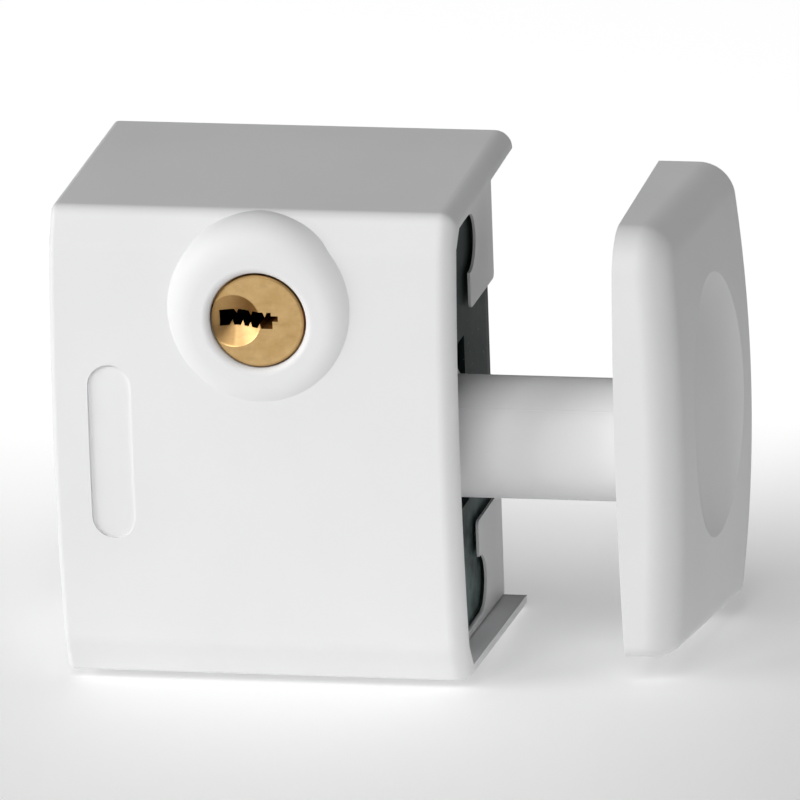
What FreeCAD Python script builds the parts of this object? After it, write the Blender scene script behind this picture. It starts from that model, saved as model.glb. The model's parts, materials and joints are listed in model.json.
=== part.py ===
import FreeCAD, Part
import math
import operator
import os
import Sketcher

# Window lock with a keyed cylinder and a push-in handle, in millimetres.
# X runs along the bolt towards the handle, Y into the window frame, Z up.
# The origin is the centre of the four mounting holes, on the back face.

os.makedirs("parts", exist_ok=True)
Vector = FreeCAD.Vector
doc = FreeCAD.newDocument("WindowLock")
sheet = doc.addObject("Spreadsheet::Sheet", "Sizes")

# Driving sizes: name, millimetres (degrees where the name says angle), meaning.
driving_sizes = [
    ("coverWidth", 59.0, "cover, left face to right rim"),
    ("coverDepth", 45.0, "cover, back face to the front of the crown"),
    ("backHeight", 72.0, "cover height at the back face"),
    ("frontHeight", 69.4, "cover height at the front corners"),
    ("crownMargin", 5.2, "front corners, above and below the crowned middle"),
    ("crownRise", 2.2, "how far the crown stands out over its height"),
    ("cornerSetback", 4.7, "front corners, behind the front of the crown"),
    ("frontWall", 2.6, "front wall of the cover"),
    ("topWall", 2.6, "top wall of the cover"),
    ("bottomWall", 1.8, "bottom wall of the cover"),
    ("leftWall", 2.4, "left wall of the cover"),
    ("creaseRound", 5.0, "creases above and below the crown"),
    ("topEdgeRound", 2.0, "upper front edge"),
    ("bottomEdgeRound", 1.0, "lower front edge"),
    ("leftEdgeRound", 0.9, "edges round the left face"),
    ("rimRound", 2.5, "outer edge of the open right rim"),
    ("coverGap", 0.4, "inner pieces to the cover's inside"),
    ("bossRadius", 15.0, "domed boss round the cylinder"),
    ("bossRound", 5.2, "round of the dome"),
    ("bossProud", 0.3, "boss face in front of the crown"),
    ("rimDrop", 0.5, "plug face behind the boss face"),
    ("plugX", 1.2, "cylinder axis"),
    ("plugZ", 19.6, "cylinder axis"),
    ("recessX", -20.9, "bare stadium recess in the front"),
    ("recessZ", -0.5, "bare stadium recess in the front"),
    ("recessWidth", 6.4, "bare stadium recess in the front"),
    ("recessHeight", 25.8, "bare stadium recess in the front"),
    ("recessDepth", 0.45, "bare stadium recess in the front"),
    ("boltDepth", 18.6, "bolt axis, behind the front of the crown"),
    ("boltZ", -2.1, "bolt axis"),
    ("boltRadius", 6.0, "steel bolt"),
    ("boltSetback", 0.5, "bolt nose inside the left face"),
    ("boltStub", 4.0, "radius of the threaded end of the bolt"),
    ("stemRadius", 8.85, "moulded tube over the bolt"),
    ("travel", 24.0, "push of the handle and throw of the bolt"),
    ("handleGap", 21.7, "housing rim to the handle plate"),
    ("running", 0.05, "radial clearance of what slides or turns"),
    ("seat", 0.02, "radial clearance of what is pressed in"),
    ("plateFront", 6.4, "front of the handle plate behind the crown"),
    ("plateTop", 3.7, "handle plate below the cover's top"),
    ("plateBottom", 2.75, "handle plate above the cover's bottom"),
    ("plateBack", 0.4, "handle plate in front of the back face"),
    ("plateFrontThick", 8.9, "handle plate at its front edge"),
    ("plateBackThick", 12.7, "handle plate at its back edge"),
    ("plateCrown", 1.8, "crown of the handle plate's outer face"),
    ("plateShell", 3.0, "wall round the inside of the handle plate"),
    ("plateCore", 3.6, "depth of the hollow in the handle plate"),
    ("plateCornerRound", 7.0, "upper front edge of the handle plate"),
    ("plateTopRound", 5.2, "outer front and top edges of the handle plate"),
    ("plateBottomRound", 2.6, "outer bottom edge of the handle plate"),
    ("dishY", -16.8, "finger dish"),
    ("dishZ", 1.1, "finger dish"),
    ("dishHalfWidth", 12.2, "finger dish"),
    ("dishHalfHeight", 19.6, "finger dish"),
    ("dishDepth", 1.9, "finger dish"),
    ("panelThick", 2.0, "inner panel of the handle"),
    ("nutHeight", 3.7, "nut on the bolt"),
    ("nutFlats", 13.0, "nut on the bolt, across flats"),
    ("bezelRecess", 3.3, "side plate inside the cover's rim"),
    ("bezelThick", 1.0, "side plate"),
    ("bezelSlot", 5.6, "opening of the side plate, in front of the bolt axis"),
    ("bezelLobe", 25.6, "round lobes of the opening, above and below the bolt"),
    ("bezelLobeRadius", 4.3, "round lobes of the opening"),
    ("bezelLobeShift", 10.4, "centres of the lobes, behind the bolt axis"),
    ("bezelNotch", 16.0, "half height of the notch to the back"),
    ("bezelScrewZ", 20.0, "side plate screws, above and below the bolt"),
    ("bezelScrew", 1.25, "side plate screws"),
    ("bezelHead", 2.1, "heads of the side plate screws"),
    ("caseSlope", 5.0, "flat front of the case, above and below, inside the crown"),
    ("caseWall", 2.9, "top and bottom walls of the case"),
    ("caseFrontWall", 1.6, "front wall of the case"),
    ("caseLeftWall", 4.1, "left wall of the case"),
    ("caseRightWall", 2.5, "right wall of the case"),
    ("bossLength", 3.5, "bearing bosses inside the side walls"),
    ("bushWall", 1.0, "bush round the stem"),
    ("boltBushWall", 1.5, "bush round the bolt"),
    ("pocketDepth", 1.2, "pocket in the case round the stem"),
    ("pocketHalfHeight", 12.3, "pocket in the case round the stem"),
    ("backPlate", 2.0, "back plate"),
    ("mountX", 18.5, "mounting holes, half spacing across"),
    ("mountZ", 25.0, "mounting holes, half spacing up"),
    ("mountRadius", 2.3, "mounting holes"),
    ("accessRadius", 4.0, "driver openings in front of the mounting holes"),
    ("postX", 19.6, "screw posts of the back plate"),
    ("postHighZ", 14.5, "upper screw posts"),
    ("postLowZ", -17.0, "lower screw posts"),
    ("postRadius", 3.0, "screw posts"),
    ("postLength", 11.0, "screw posts"),
    ("postScrew", 1.5, "back plate screws"),
    ("screwHead", 2.75, "back plate screw heads"),
    ("plugFace", 6.75, "plug face"),
    ("plugRadius", 6.2, "plug"),
    ("flangeThick", 1.4, "flange of the plug"),
    ("bodyRadius", 9.0, "cylinder body"),
    ("bodyFlange", 10.4, "flange of the cylinder body"),
    ("bodyFlangeThick", 1.2, "flange of the cylinder body"),
    ("bodyDepth", 20.4, "back of the cylinder body, behind the front of the crown"),
    ("humpReach", 14.4, "pin housing, from the cylinder axis"),
    ("humpHalf", 4.0, "half height of the pin housing"),
    ("keyLeft", 5.7, "keyway, to the left of the axis"),
    ("keyRight", 2.2, "keyway, to the right of the axis"),
    ("keyHalf", 1.1, "half height of the keyway"),
    ("keyRidge", 0.7, "ridges of the keyway"),
    ("keyTab", 0.8, "side slot at the right end of the keyway"),
    ("coneRadius", 3.9, "key guide cone"),
    ("coneShift", 3.4, "key guide cone, off the cylinder axis"),
    ("coneDepth", 2.4, "key guide cone"),
    ("tailRadius", 2.4, "tail of the plug"),
    ("tailFlats", 3.8, "tail of the plug, across flats"),
    ("tailDepth", 27.8, "end of the tail, behind the front of the crown"),
    ("pinRadius", 1.2, "tumbler pins"),
    ("pinPitch", 3.1, "tumbler pins"),
    ("pinFirst", 1.7, "first tumbler pin, behind the front of the case"),
    ("pinLength", 3.4, "tumbler pins"),
    ("clipThick", 0.9, "horseshoe clip of the cylinder"),
    ("clipGroove", 0.9, "depth of the groove for that clip"),
    ("bedDrop", 7.2, "lower edge of the latch's bed, below the cylinder axis"),
    ("latchHalf", 10.0, "half width of the latch"),
    ("windowHalf", 7.5, "half width of the latch's window"),
    ("windowDrop", 6.3, "lower edge of the window, below the cylinder axis"),
    ("latchBar", 1.6, "latch below its window"),
    ("latchToe", 0.8, "toe of the latch below its bar"),
    ("latchDepth", 23.2, "front of the latch, behind the front of the crown"),
    ("latchThick", 2.6, "latch"),
    ("latchGap", 0.3, "latch to its bed, cover and ribs"),
    ("camRadius", 5.2, "eccentric cam"),
    ("camShift", 1.9, "eccentric cam, off the cylinder axis"),
    ("camAngle", 110.0, "cam, from straight up at rest"),
    ("camGap", 0.35, "cam to the latch"),
    ("latchTop", 1.6, "latch above its window"),
    ("bedThick", 2.2, "wall that the latch slides on"),
    ("ribWidth", 2.6, "ribs beside the latch"),
    ("coverPlate", 1.2, "plate that holds the latch in"),
    ("carrierRight", 14.0, "right face of the carrier, from the middle"),
    ("carrierLength", 8.0, "carrier on the bolt"),
    ("catchRise", 3.05, "catch of the carrier above the stem"),
    ("catchThick", 3.6, "catch of the carrier"),
    ("rodDrop", 14.9, "guide rod below the bolt"),
    ("rodRadius", 2.0, "guide rod"),
    ("wire", 0.9, "return spring wire"),
    ("coilRadius", 3.2, "return spring, to the middle of the wire"),
    ("bufferRadius", 3.2, "rubber buffer"),
    ("seatGap", 0.3, "play where a moving piece stops"),
]

for row, (alias, value, meaning) in enumerate(driving_sizes, start=1):
    sheet.set("A%d" % row, meaning)
    sheet.set("B%d" % row, repr(value))
    sheet.setAlias("B%d" % row, alias)
doc.recompute()


# A size together with the sheet formula that gives it.
class Size:
    def __init__(self, value, formula):
        self.value = float(value)
        self.formula = formula

    def joined(self, other, symbol, work, swap=False):
        other = as_size(other)
        first, second = (other, self) if swap else (self, other)
        formula = "(%s %s %s)" % (first.formula, symbol, second.formula)
        return Size(work(first.value, second.value), formula)

    def __add__(self, other):
        return self.joined(other, "+", operator.add)

    def __radd__(self, other):
        return self.joined(other, "+", operator.add, True)

    def __sub__(self, other):
        return self.joined(other, "-", operator.sub)

    def __rsub__(self, other):
        return self.joined(other, "-", operator.sub, True)

    def __mul__(self, other):
        return self.joined(other, "*", operator.mul)

    def __rmul__(self, other):
        return self.joined(other, "*", operator.mul, True)

    def __truediv__(self, other):
        return self.joined(other, "/", operator.truediv)

    def __rtruediv__(self, other):
        return self.joined(other, "/", operator.truediv, True)

    def __neg__(self):
        return 0 - self

    def root(self):
        return Size(math.sqrt(self.value), "sqrt(%s)" % self.formula)

    def sine(self):
        return Size(math.sin(math.radians(self.value)), "sin(%s * 1deg)" % self.formula)

    def cosine(self):
        return Size(math.cos(math.radians(self.value)), "cos(%s * 1deg)" % self.formula)


def as_size(value):
    return value if isinstance(value, Size) else Size(value, repr(float(value)))


class Sizes:
    def __getattr__(self, alias):
        return Size(sheet.get(alias), "Sizes." + alias)


cell = Sizes()
finished = []


def bind(thing, path, value):
    thing.setExpression(path, as_size(value).formula)


# Sketches and features

def new_body(label):
    body = doc.addObject("PartDesign::Body", label)
    body.Label = label
    return body


def new_sketch(body, role, shift=(0, 0, 0)):
    plane = [p for p in body.Origin.OriginFeatures if p.Role == role][0]
    sketch = body.newObject("Sketcher::SketchObject", body.Name + "_sketch")
    sketch.AttachmentSupport = [(plane, "")]
    sketch.MapMode = "FlatFace"
    for letter, value in zip("xyz", shift):
        bind(sketch, "AttachmentOffset.Base." + letter, value)
    return sketch


# Sketch planes across each axis, at a place along it. Their own axes are Y and Z,
# X and Z, or X and Y, and corner is the place of their origin.
def across_x(body, x, corner=(0, 0)):
    return new_sketch(body, "YZ_Plane", (corner[0], corner[1], x))


def across_y(body, y, corner=(0, 0)):
    return new_sketch(body, "XZ_Plane", (corner[0], corner[1], -as_size(y)))


# Turns a placement about an axis by the angle of a slope.
def lean(thing, path, axis, slope):
    placement = getattr(thing, path)
    placement.Rotation = FreeCAD.Rotation(axis, math.degrees(math.atan(slope.value)))
    setattr(thing, path, placement)
    thing.setExpression(path + ".Rotation.Angle", "atan(%s)" % slope.formula)


def fix(sketch, kind, *where, value):
    sketch.addConstraint(Sketcher.Constraint(kind, *where, as_size(value).value))
    bind(sketch, "Constraints[%d]" % (sketch.ConstraintCount - 1), value)


def place_point(sketch, edge, end, point):
    fix(sketch, "DistanceX", -1, 1, edge, end, value=point[0])
    fix(sketch, "DistanceY", -1, 1, edge, end, value=point[1])


# Closed outline through the points. rises names the edges that are arcs, by the number
# of their first point, with how far each stands out on its left (or right if negative).
def outline(sketch, points, rises=None):
    rises = rises or {}
    points = [(as_size(x), as_size(y)) for x, y in points]
    first = sketch.GeometryCount
    starts = []
    for number, (x, y) in enumerate(points):
        next_x, next_y = points[(number + 1) % len(points)]
        here = Vector(x.value, y.value, 0)
        there = Vector(next_x.value, next_y.value, 0)
        if number not in rises:
            sketch.addGeometry(Part.LineSegment(here, there))
            starts.append((first + number, 1, 2))
            continue
        rise = as_size(rises[number])
        chord = there - here
        left = Vector(-chord.y, chord.x, 0).normalize()
        radius = (chord.Length ** 2 / 4 + rise.value ** 2) / (2 * abs(rise.value))
        side = 1 if rise.value > 0 else -1
        centre = (here + there) / 2 + left * side * (abs(rise.value) - radius)
        ends = (here, there) if side < 0 else (there, here)
        low, high = [math.atan2(p.y - centre.y, p.x - centre.x) for p in ends]
        if high < low:
            high += 2 * math.pi
        circle = Part.Circle(centre, Vector(0, 0, 1), radius)
        sketch.addGeometry(Part.ArcOfCircle(circle, low, high))
        starts.append((first + number, 1, 2) if side < 0 else (first + number, 2, 1))
    for number, (edge, start, end) in enumerate(starts):
        next_edge, next_start, _ = starts[(number + 1) % len(starts)]
        sketch.addConstraint(Sketcher.Constraint("Coincident", edge, end, next_edge, next_start))
        place_point(sketch, edge, start, points[number])
    for number, rise in rises.items():
        x, y = points[number]
        next_x, next_y = points[(number + 1) % len(points)]
        half = ((next_x - x) * (next_x - x) + (next_y - y) * (next_y - y)) / 4
        size = as_size(abs(rise)) if not isinstance(rise, Size) else rise
        size = size if size.value > 0 else -size
        fix(sketch, "Radius", starts[number][0], value=(half + size * size) / (2 * size))


def ring(sketch, x, y, radius):
    centre = Vector(as_size(x).value, as_size(y).value, 0)
    edge = sketch.addGeometry(Part.Circle(centre, Vector(0, 0, 1), as_size(radius).value))
    place_point(sketch, edge, 3, (x, y))
    fix(sketch, "Radius", edge, value=radius)


def rectangle(sketch, low, high):
    outline(sketch, [low, (high[0], low[1]), high, (low[0], high[1])])


def feature(body, kind, sketch, length, reverse=False, middle=False):
    made = body.newObject("PartDesign::" + kind, body.Name + "_" + kind.lower())
    made.Profile = sketch
    bind(made, "Length", length)
    made.Reversed = reverse
    made.Midplane = middle
    sketch.Visibility = False
    doc.recompute()
    return made


def pad(body, sketch, length, **how):
    return feature(body, "Pad", sketch, length, **how)


# A pocket has to take something away, or its direction is wrong.
def pocket(body, sketch, length, **how):
    before = body.Shape.Volume
    made = feature(body, "Pocket", sketch, length, **how)
    if not made.Shape.Volume < before - 1e-4:
        raise ValueError("%s cuts nothing" % made.Name)
    return made


def turned(body, kind, sketch, axis):
    made = body.newObject("PartDesign::" + kind, body.Name + "_" + kind.lower())
    made.Profile = sketch
    made.ReferenceAxis = (sketch, [axis])
    made.Angle = 360
    doc.recompute()
    return made


# Rounds or bevels the edges of the body's last shape that a test picks by their two
# ends and middle.
def treat_edges(body, kind, size, test):
    tip = body.Tip
    names = []
    for number, edge in enumerate(tip.Shape.Edges, start=1):
        low, high = edge.ParameterRange
        spots = [edge.valueAt(low), edge.valueAt((low + high) / 2), edge.valueAt(high)]
        if test(spots):
            names.append("Edge%d" % number)
    if not names:
        raise ValueError("no edge of %s to treat" % body.Name)
    made = body.newObject("PartDesign::" + kind, body.Name + "_" + kind.lower())
    made.Base = (tip, names)
    bind(made, "Radius" if kind == "Fillet" else "Size", size)
    doc.recompute()
    if "Invalid" in made.State or not made.Shape.isValid():
        raise ValueError("%s fails" % made.Name)
    return made


def near(spots, letter, value, reach=0.05):
    place = as_size(value).value
    return all(abs(getattr(spot, letter) - place) < reach for spot in spots)


# Primitives, with their low end and direction

facing = {
    "x": FreeCAD.Rotation(Vector(0, 1, 0), 90),
    "y": FreeCAD.Rotation(Vector(1, 0, 0), -90),
    "z": FreeCAD.Rotation(),
}


def put(thing, place, letter="z"):
    thing.Placement.Rotation = facing[letter]
    for axis, value in zip("xyz", place):
        bind(thing, "Placement.Base." + axis, value)


def rod(name, letter, place, radius, length):
    thing = doc.addObject("Part::Cylinder", name)
    bind(thing, "Radius", radius)
    bind(thing, "Height", length)
    put(thing, place, letter)
    return thing


def cone(name, letter, place, low_radius, high_radius, length):
    thing = doc.addObject("Part::Cone", name)
    bind(thing, "Radius1", low_radius)
    bind(thing, "Radius2", high_radius)
    bind(thing, "Height", length)
    put(thing, place, letter)
    return thing


def block(name, low, high):
    thing = doc.addObject("Part::Box", name)
    for side, start, end in zip(("Length", "Width", "Height"), low, high):
        bind(thing, side, as_size(end) - start)
    put(thing, low)
    return thing


def cut(name, base, tool):
    thing = doc.addObject("Part::Cut", name)
    thing.Base = base
    thing.Tool = tool
    return thing


def fuse(name, pieces):
    thing = doc.addObject("Part::MultiFuse", name)
    thing.Shapes = pieces
    return thing


# Several separate solids in one piece, such as a set of screws.
def group(name, pieces):
    thing = doc.addObject("Part::Compound", name)
    thing.Links = pieces
    return thing


def tube(name, letter, place, outer, inner, length):
    skin = rod(name + "_skin", letter, place, outer, length)
    bore = rod(name + "_bore", letter, place, inner, length)
    return cut(name, skin, bore)


def keep(thing, label):
    thing.Label = label
    finished.append(thing)
    return thing


# Places that several pieces share
right = cell.coverWidth / 2
left = -right
front = -cell.coverDepth
crown_half = cell.frontHeight / 2 - cell.crownMargin
case_flat = crown_half - cell.caseSlope
bolt_y = front + cell.boltDepth
bezel_face = right - cell.bezelRecess
case_right = bezel_face - cell.bezelThick
case_left = left + cell.leftWall + cell.seatGap
inner_right = case_right - cell.caseRightWall
inner_left = case_left + cell.caseLeftWall
case_top = cell.frontHeight / 2 - cell.topWall - cell.seatGap
case_bottom = -(cell.frontHeight / 2 - cell.bottomWall - cell.seatGap)
case_back = -cell.backPlate
inner_top = case_top - cell.caseWall
inner_bottom = case_bottom + cell.caseWall
handle_left = right + cell.handleGap
boss_face = front - cell.bossProud
plug_front = boss_face + cell.rimDrop
body_front = plug_front + cell.flangeThick + 0.1
body_back = front + cell.bodyDepth
latch_front = front + cell.latchDepth
latch_back = latch_front + cell.latchThick
bed_back = latch_front - cell.latchGap
cover_plate_front = latch_back + cell.latchGap
cover_plate_back = cover_plate_front + cell.coverPlate
bed_half = cell.latchHalf + cell.latchGap + cell.ribWidth
rod_z = cell.boltZ - cell.rodDrop
carrier_left = cell.carrierRight - cell.carrierLength
ear_left = cell.carrierRight - cell.carrierLength / 2
crown_radius = (crown_half * crown_half + cell.crownRise * cell.crownRise) / (2 * cell.crownRise)


# How far an arc of a radius stands out over a half chord.
def rise_over(radius, half):
    half = as_size(half)
    return radius - (radius * radius - half * half).root()


# The front crown at a height, set back by a depth.
def crown_y(z, depth):
    return front + depth + rise_over(crown_radius, z)


case_front = crown_y(case_flat, cell.frontWall + cell.coverGap)
inner_front = case_front + cell.caseFrontWall
slot_front = bolt_y - cell.bezelSlot
lobe_y = bolt_y + cell.bezelLobeShift
bezel_screw_y = slot_front - 2.7
pin_cover_thick = Size(0.8, "0.8")
pin_places = [case_front + cell.pinFirst + number * cell.pinPitch for number in range(4)]
cam_back = latch_back - 0.2
plug_back = body_back + 0.1
tail_end = front + cell.tailDepth
window_low = cell.plugZ - cell.windowDrop
window_high = cell.plugZ + cell.camShift * cell.camAngle.cosine() + cell.camRadius + cell.camGap
latch_top = window_high + cell.latchTop
carrier_pin_radius = Size(1.5, "1.5")
catch_top = cell.boltZ + cell.stemRadius + cell.catchRise
catch_back = latch_back + 0.6
pin_x = carrier_left + cell.carrierLength / 2


# Side outline of the housing, moved in from the front, top and bottom, with the
# crowned middle of the front shortened at both ends.
def side_outline(sketch, inset_front, inset_top, inset_bottom, back, shorter=0):
    corner = front + cell.cornerSetback + inset_front
    half = crown_half - shorter
    rise = rise_over(crown_radius, half)
    shoulder = front + inset_front + rise
    outline(sketch, [
        (back, -(cell.backHeight / 2 - inset_bottom)),
        (corner, -(cell.frontHeight / 2 - inset_bottom)),
        (shoulder, -half),
        (shoulder, half),
        (corner, cell.frontHeight / 2 - inset_top),
        (back, cell.backHeight / 2 - inset_top),
    ], {2: rise})


# Cover: a moulding that is open to the right and to the back
def make_cover():
    body = new_body("cover")
    sketch = across_x(body, left)
    side_outline(sketch, 0, 0, 0, 0)
    pad(body, sketch, cell.coverWidth)

    treat_edges(body, "Fillet", cell.creaseRound, lambda spots: spots[1].y < front.value + cell.cornerSetback.value / 2
                and any(near(spots, "z", side * crown_half) for side in (-1, 1)))
    top_front = front + cell.cornerSetback
    treat_edges(body, "Fillet", cell.topEdgeRound, lambda spots: near(spots, "y", top_front)
                and near(spots, "z", cell.frontHeight / 2))
    treat_edges(body, "Fillet", cell.leftEdgeRound, lambda spots: near(spots, "x", left)
                and not near(spots, "y", 0)
                and spots[1].z > -(cell.frontHeight.value / 2 - 0.01))
    treat_edges(body, "Fillet", cell.rimRound, lambda spots: near(spots, "x", right)
                and not near(spots, "y", 0)
                and spots[1].z > -(cell.frontHeight.value / 2 - 0.01))
    treat_edges(body, "Fillet", cell.bottomEdgeRound, lambda spots: near(spots, "y", top_front, 1.0)
                and near(spots, "z", -cell.frontHeight / 2, 1.0)
                and abs(spots[0].x - spots[2].x) > right.value)

    # domed boss round the cylinder
    sketch = across_x(body, cell.plugX, (0, cell.plugZ))
    outline(sketch, [
        (boss_face, 0),
        (boss_face + cell.bossRound + 3, 0),
        (boss_face + cell.bossRound + 3, cell.bossRadius),
        (boss_face + cell.bossRound, cell.bossRadius),
        (boss_face, cell.bossRadius - cell.bossRound),
    ], {3: cell.bossRound * (Size(45, "45").cosine() - 1)})
    turned(body, "Revolution", sketch, "H_Axis")

    sketch = across_x(body, right + 1)
    side_outline(sketch, cell.frontWall, cell.topWall, cell.bottomWall, 1)
    pocket(body, sketch, cell.coverWidth + 1 - cell.leftWall)

    # seat of the cylinder inside the boss, then its hole
    sketch = across_y(body, front + 12)
    ring(sketch, cell.plugX, cell.plugZ, cell.bodyFlange + cell.seatGap)
    pocket(body, sketch, front + 12 - case_front + cell.bodyFlangeThick + cell.seatGap, reverse=True)
    sketch = across_y(body, front + 12)
    ring(sketch, cell.plugX, cell.plugZ, cell.bodyRadius + cell.seatGap)
    pocket(body, sketch, front + 12 - body_front + cell.seatGap, reverse=True)
    sketch = across_y(body, front + 12)
    ring(sketch, cell.plugX, cell.plugZ, cell.plugFace + 0.25)
    pocket(body, sketch, 14, reverse=True)
    treat_edges(body, "Fillet", 1.1, lambda spots: near(spots, "y", boss_face)
                and abs(spots[0].z - cell.plugZ.value) < cell.plugFace.value + 1)

    # way out of the bolt
    sketch = across_x(body, left - 1)
    ring(sketch, bolt_y, cell.boltZ, cell.boltRadius + 0.5)
    pocket(body, sketch, cell.leftWall + 3, reverse=True)

    # bare stadium recess that follows the crown
    high = cell.recessZ + cell.recessHeight / 2
    low = cell.recessZ - cell.recessHeight / 2
    high_y = crown_y(high, cell.recessDepth)
    low_y = crown_y(low, cell.recessDepth)
    chord = (high - low) * (high - low) + (high_y - low_y) * (high_y - low_y)
    sketch = across_x(body, cell.recessX)
    outline(sketch, [
        (low_y, low),
        (high_y, high),
        (front - 3, high),
        (front - 3, low),
    ], {0: rise_over(crown_radius, chord.root() / 2)})
    pocket(body, sketch, cell.recessWidth, middle=True)
    treat_edges(body, "Fillet", cell.recessWidth / 2 - 0.02, lambda spots: all(
        abs(abs(spot.x - cell.recessX.value) - cell.recessWidth.value / 2) < 0.01 for spot in spots)
        and near(spots, "z", spots[0].z) and abs(spots[0].y - spots[2].y) < 1
        and spots[0].y < front.value + 2)
    return body


# Screw with a countersunk head, flush at its place and pointing back along its axis.
def countersunk(name, letter, place, head, shank, length):
    x, y, z = place
    depth = head - shank
    along = {"x": (1, 0, 0), "y": (0, 1, 0)}[letter]

    def back_by(distance):
        return [as_size(p) - a * as_size(distance) for p, a in zip((x, y, z), along)]

    top = cone(name + "_head", letter, back_by(depth), shank, head, depth)
    stem = rod(name + "_shank", letter, back_by(length), shank, as_size(length) - depth)
    whole = fuse(name + "_blank", [top, stem])
    socket = doc.addObject("Part::Prism", name + "_socket")
    socket.Polygon = 6
    bind(socket, "Circumradius", shank * 0.75)
    bind(socket, "Height", depth * 0.8 + 1)
    put(socket, back_by(depth * 0.8), letter)
    return cut(name, whole, socket)


# Holes for it in a plate that ends at the head's face.
def countersink(body, depth, spots, radius, face_letter, face):
    return treat_edges(body, "Chamfer", depth, lambda points: near(points, face_letter, face)
                       and any(math.dist([getattr(p, letter) for p in points for letter in "xyz"
                                          if letter != face_letter][:2],
                                         [as_size(v).value for v in spot])
                               < as_size(radius).value + 0.01 for spot in spots)
                       and (points[0] - points[2]).Length < 0.01)


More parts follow.
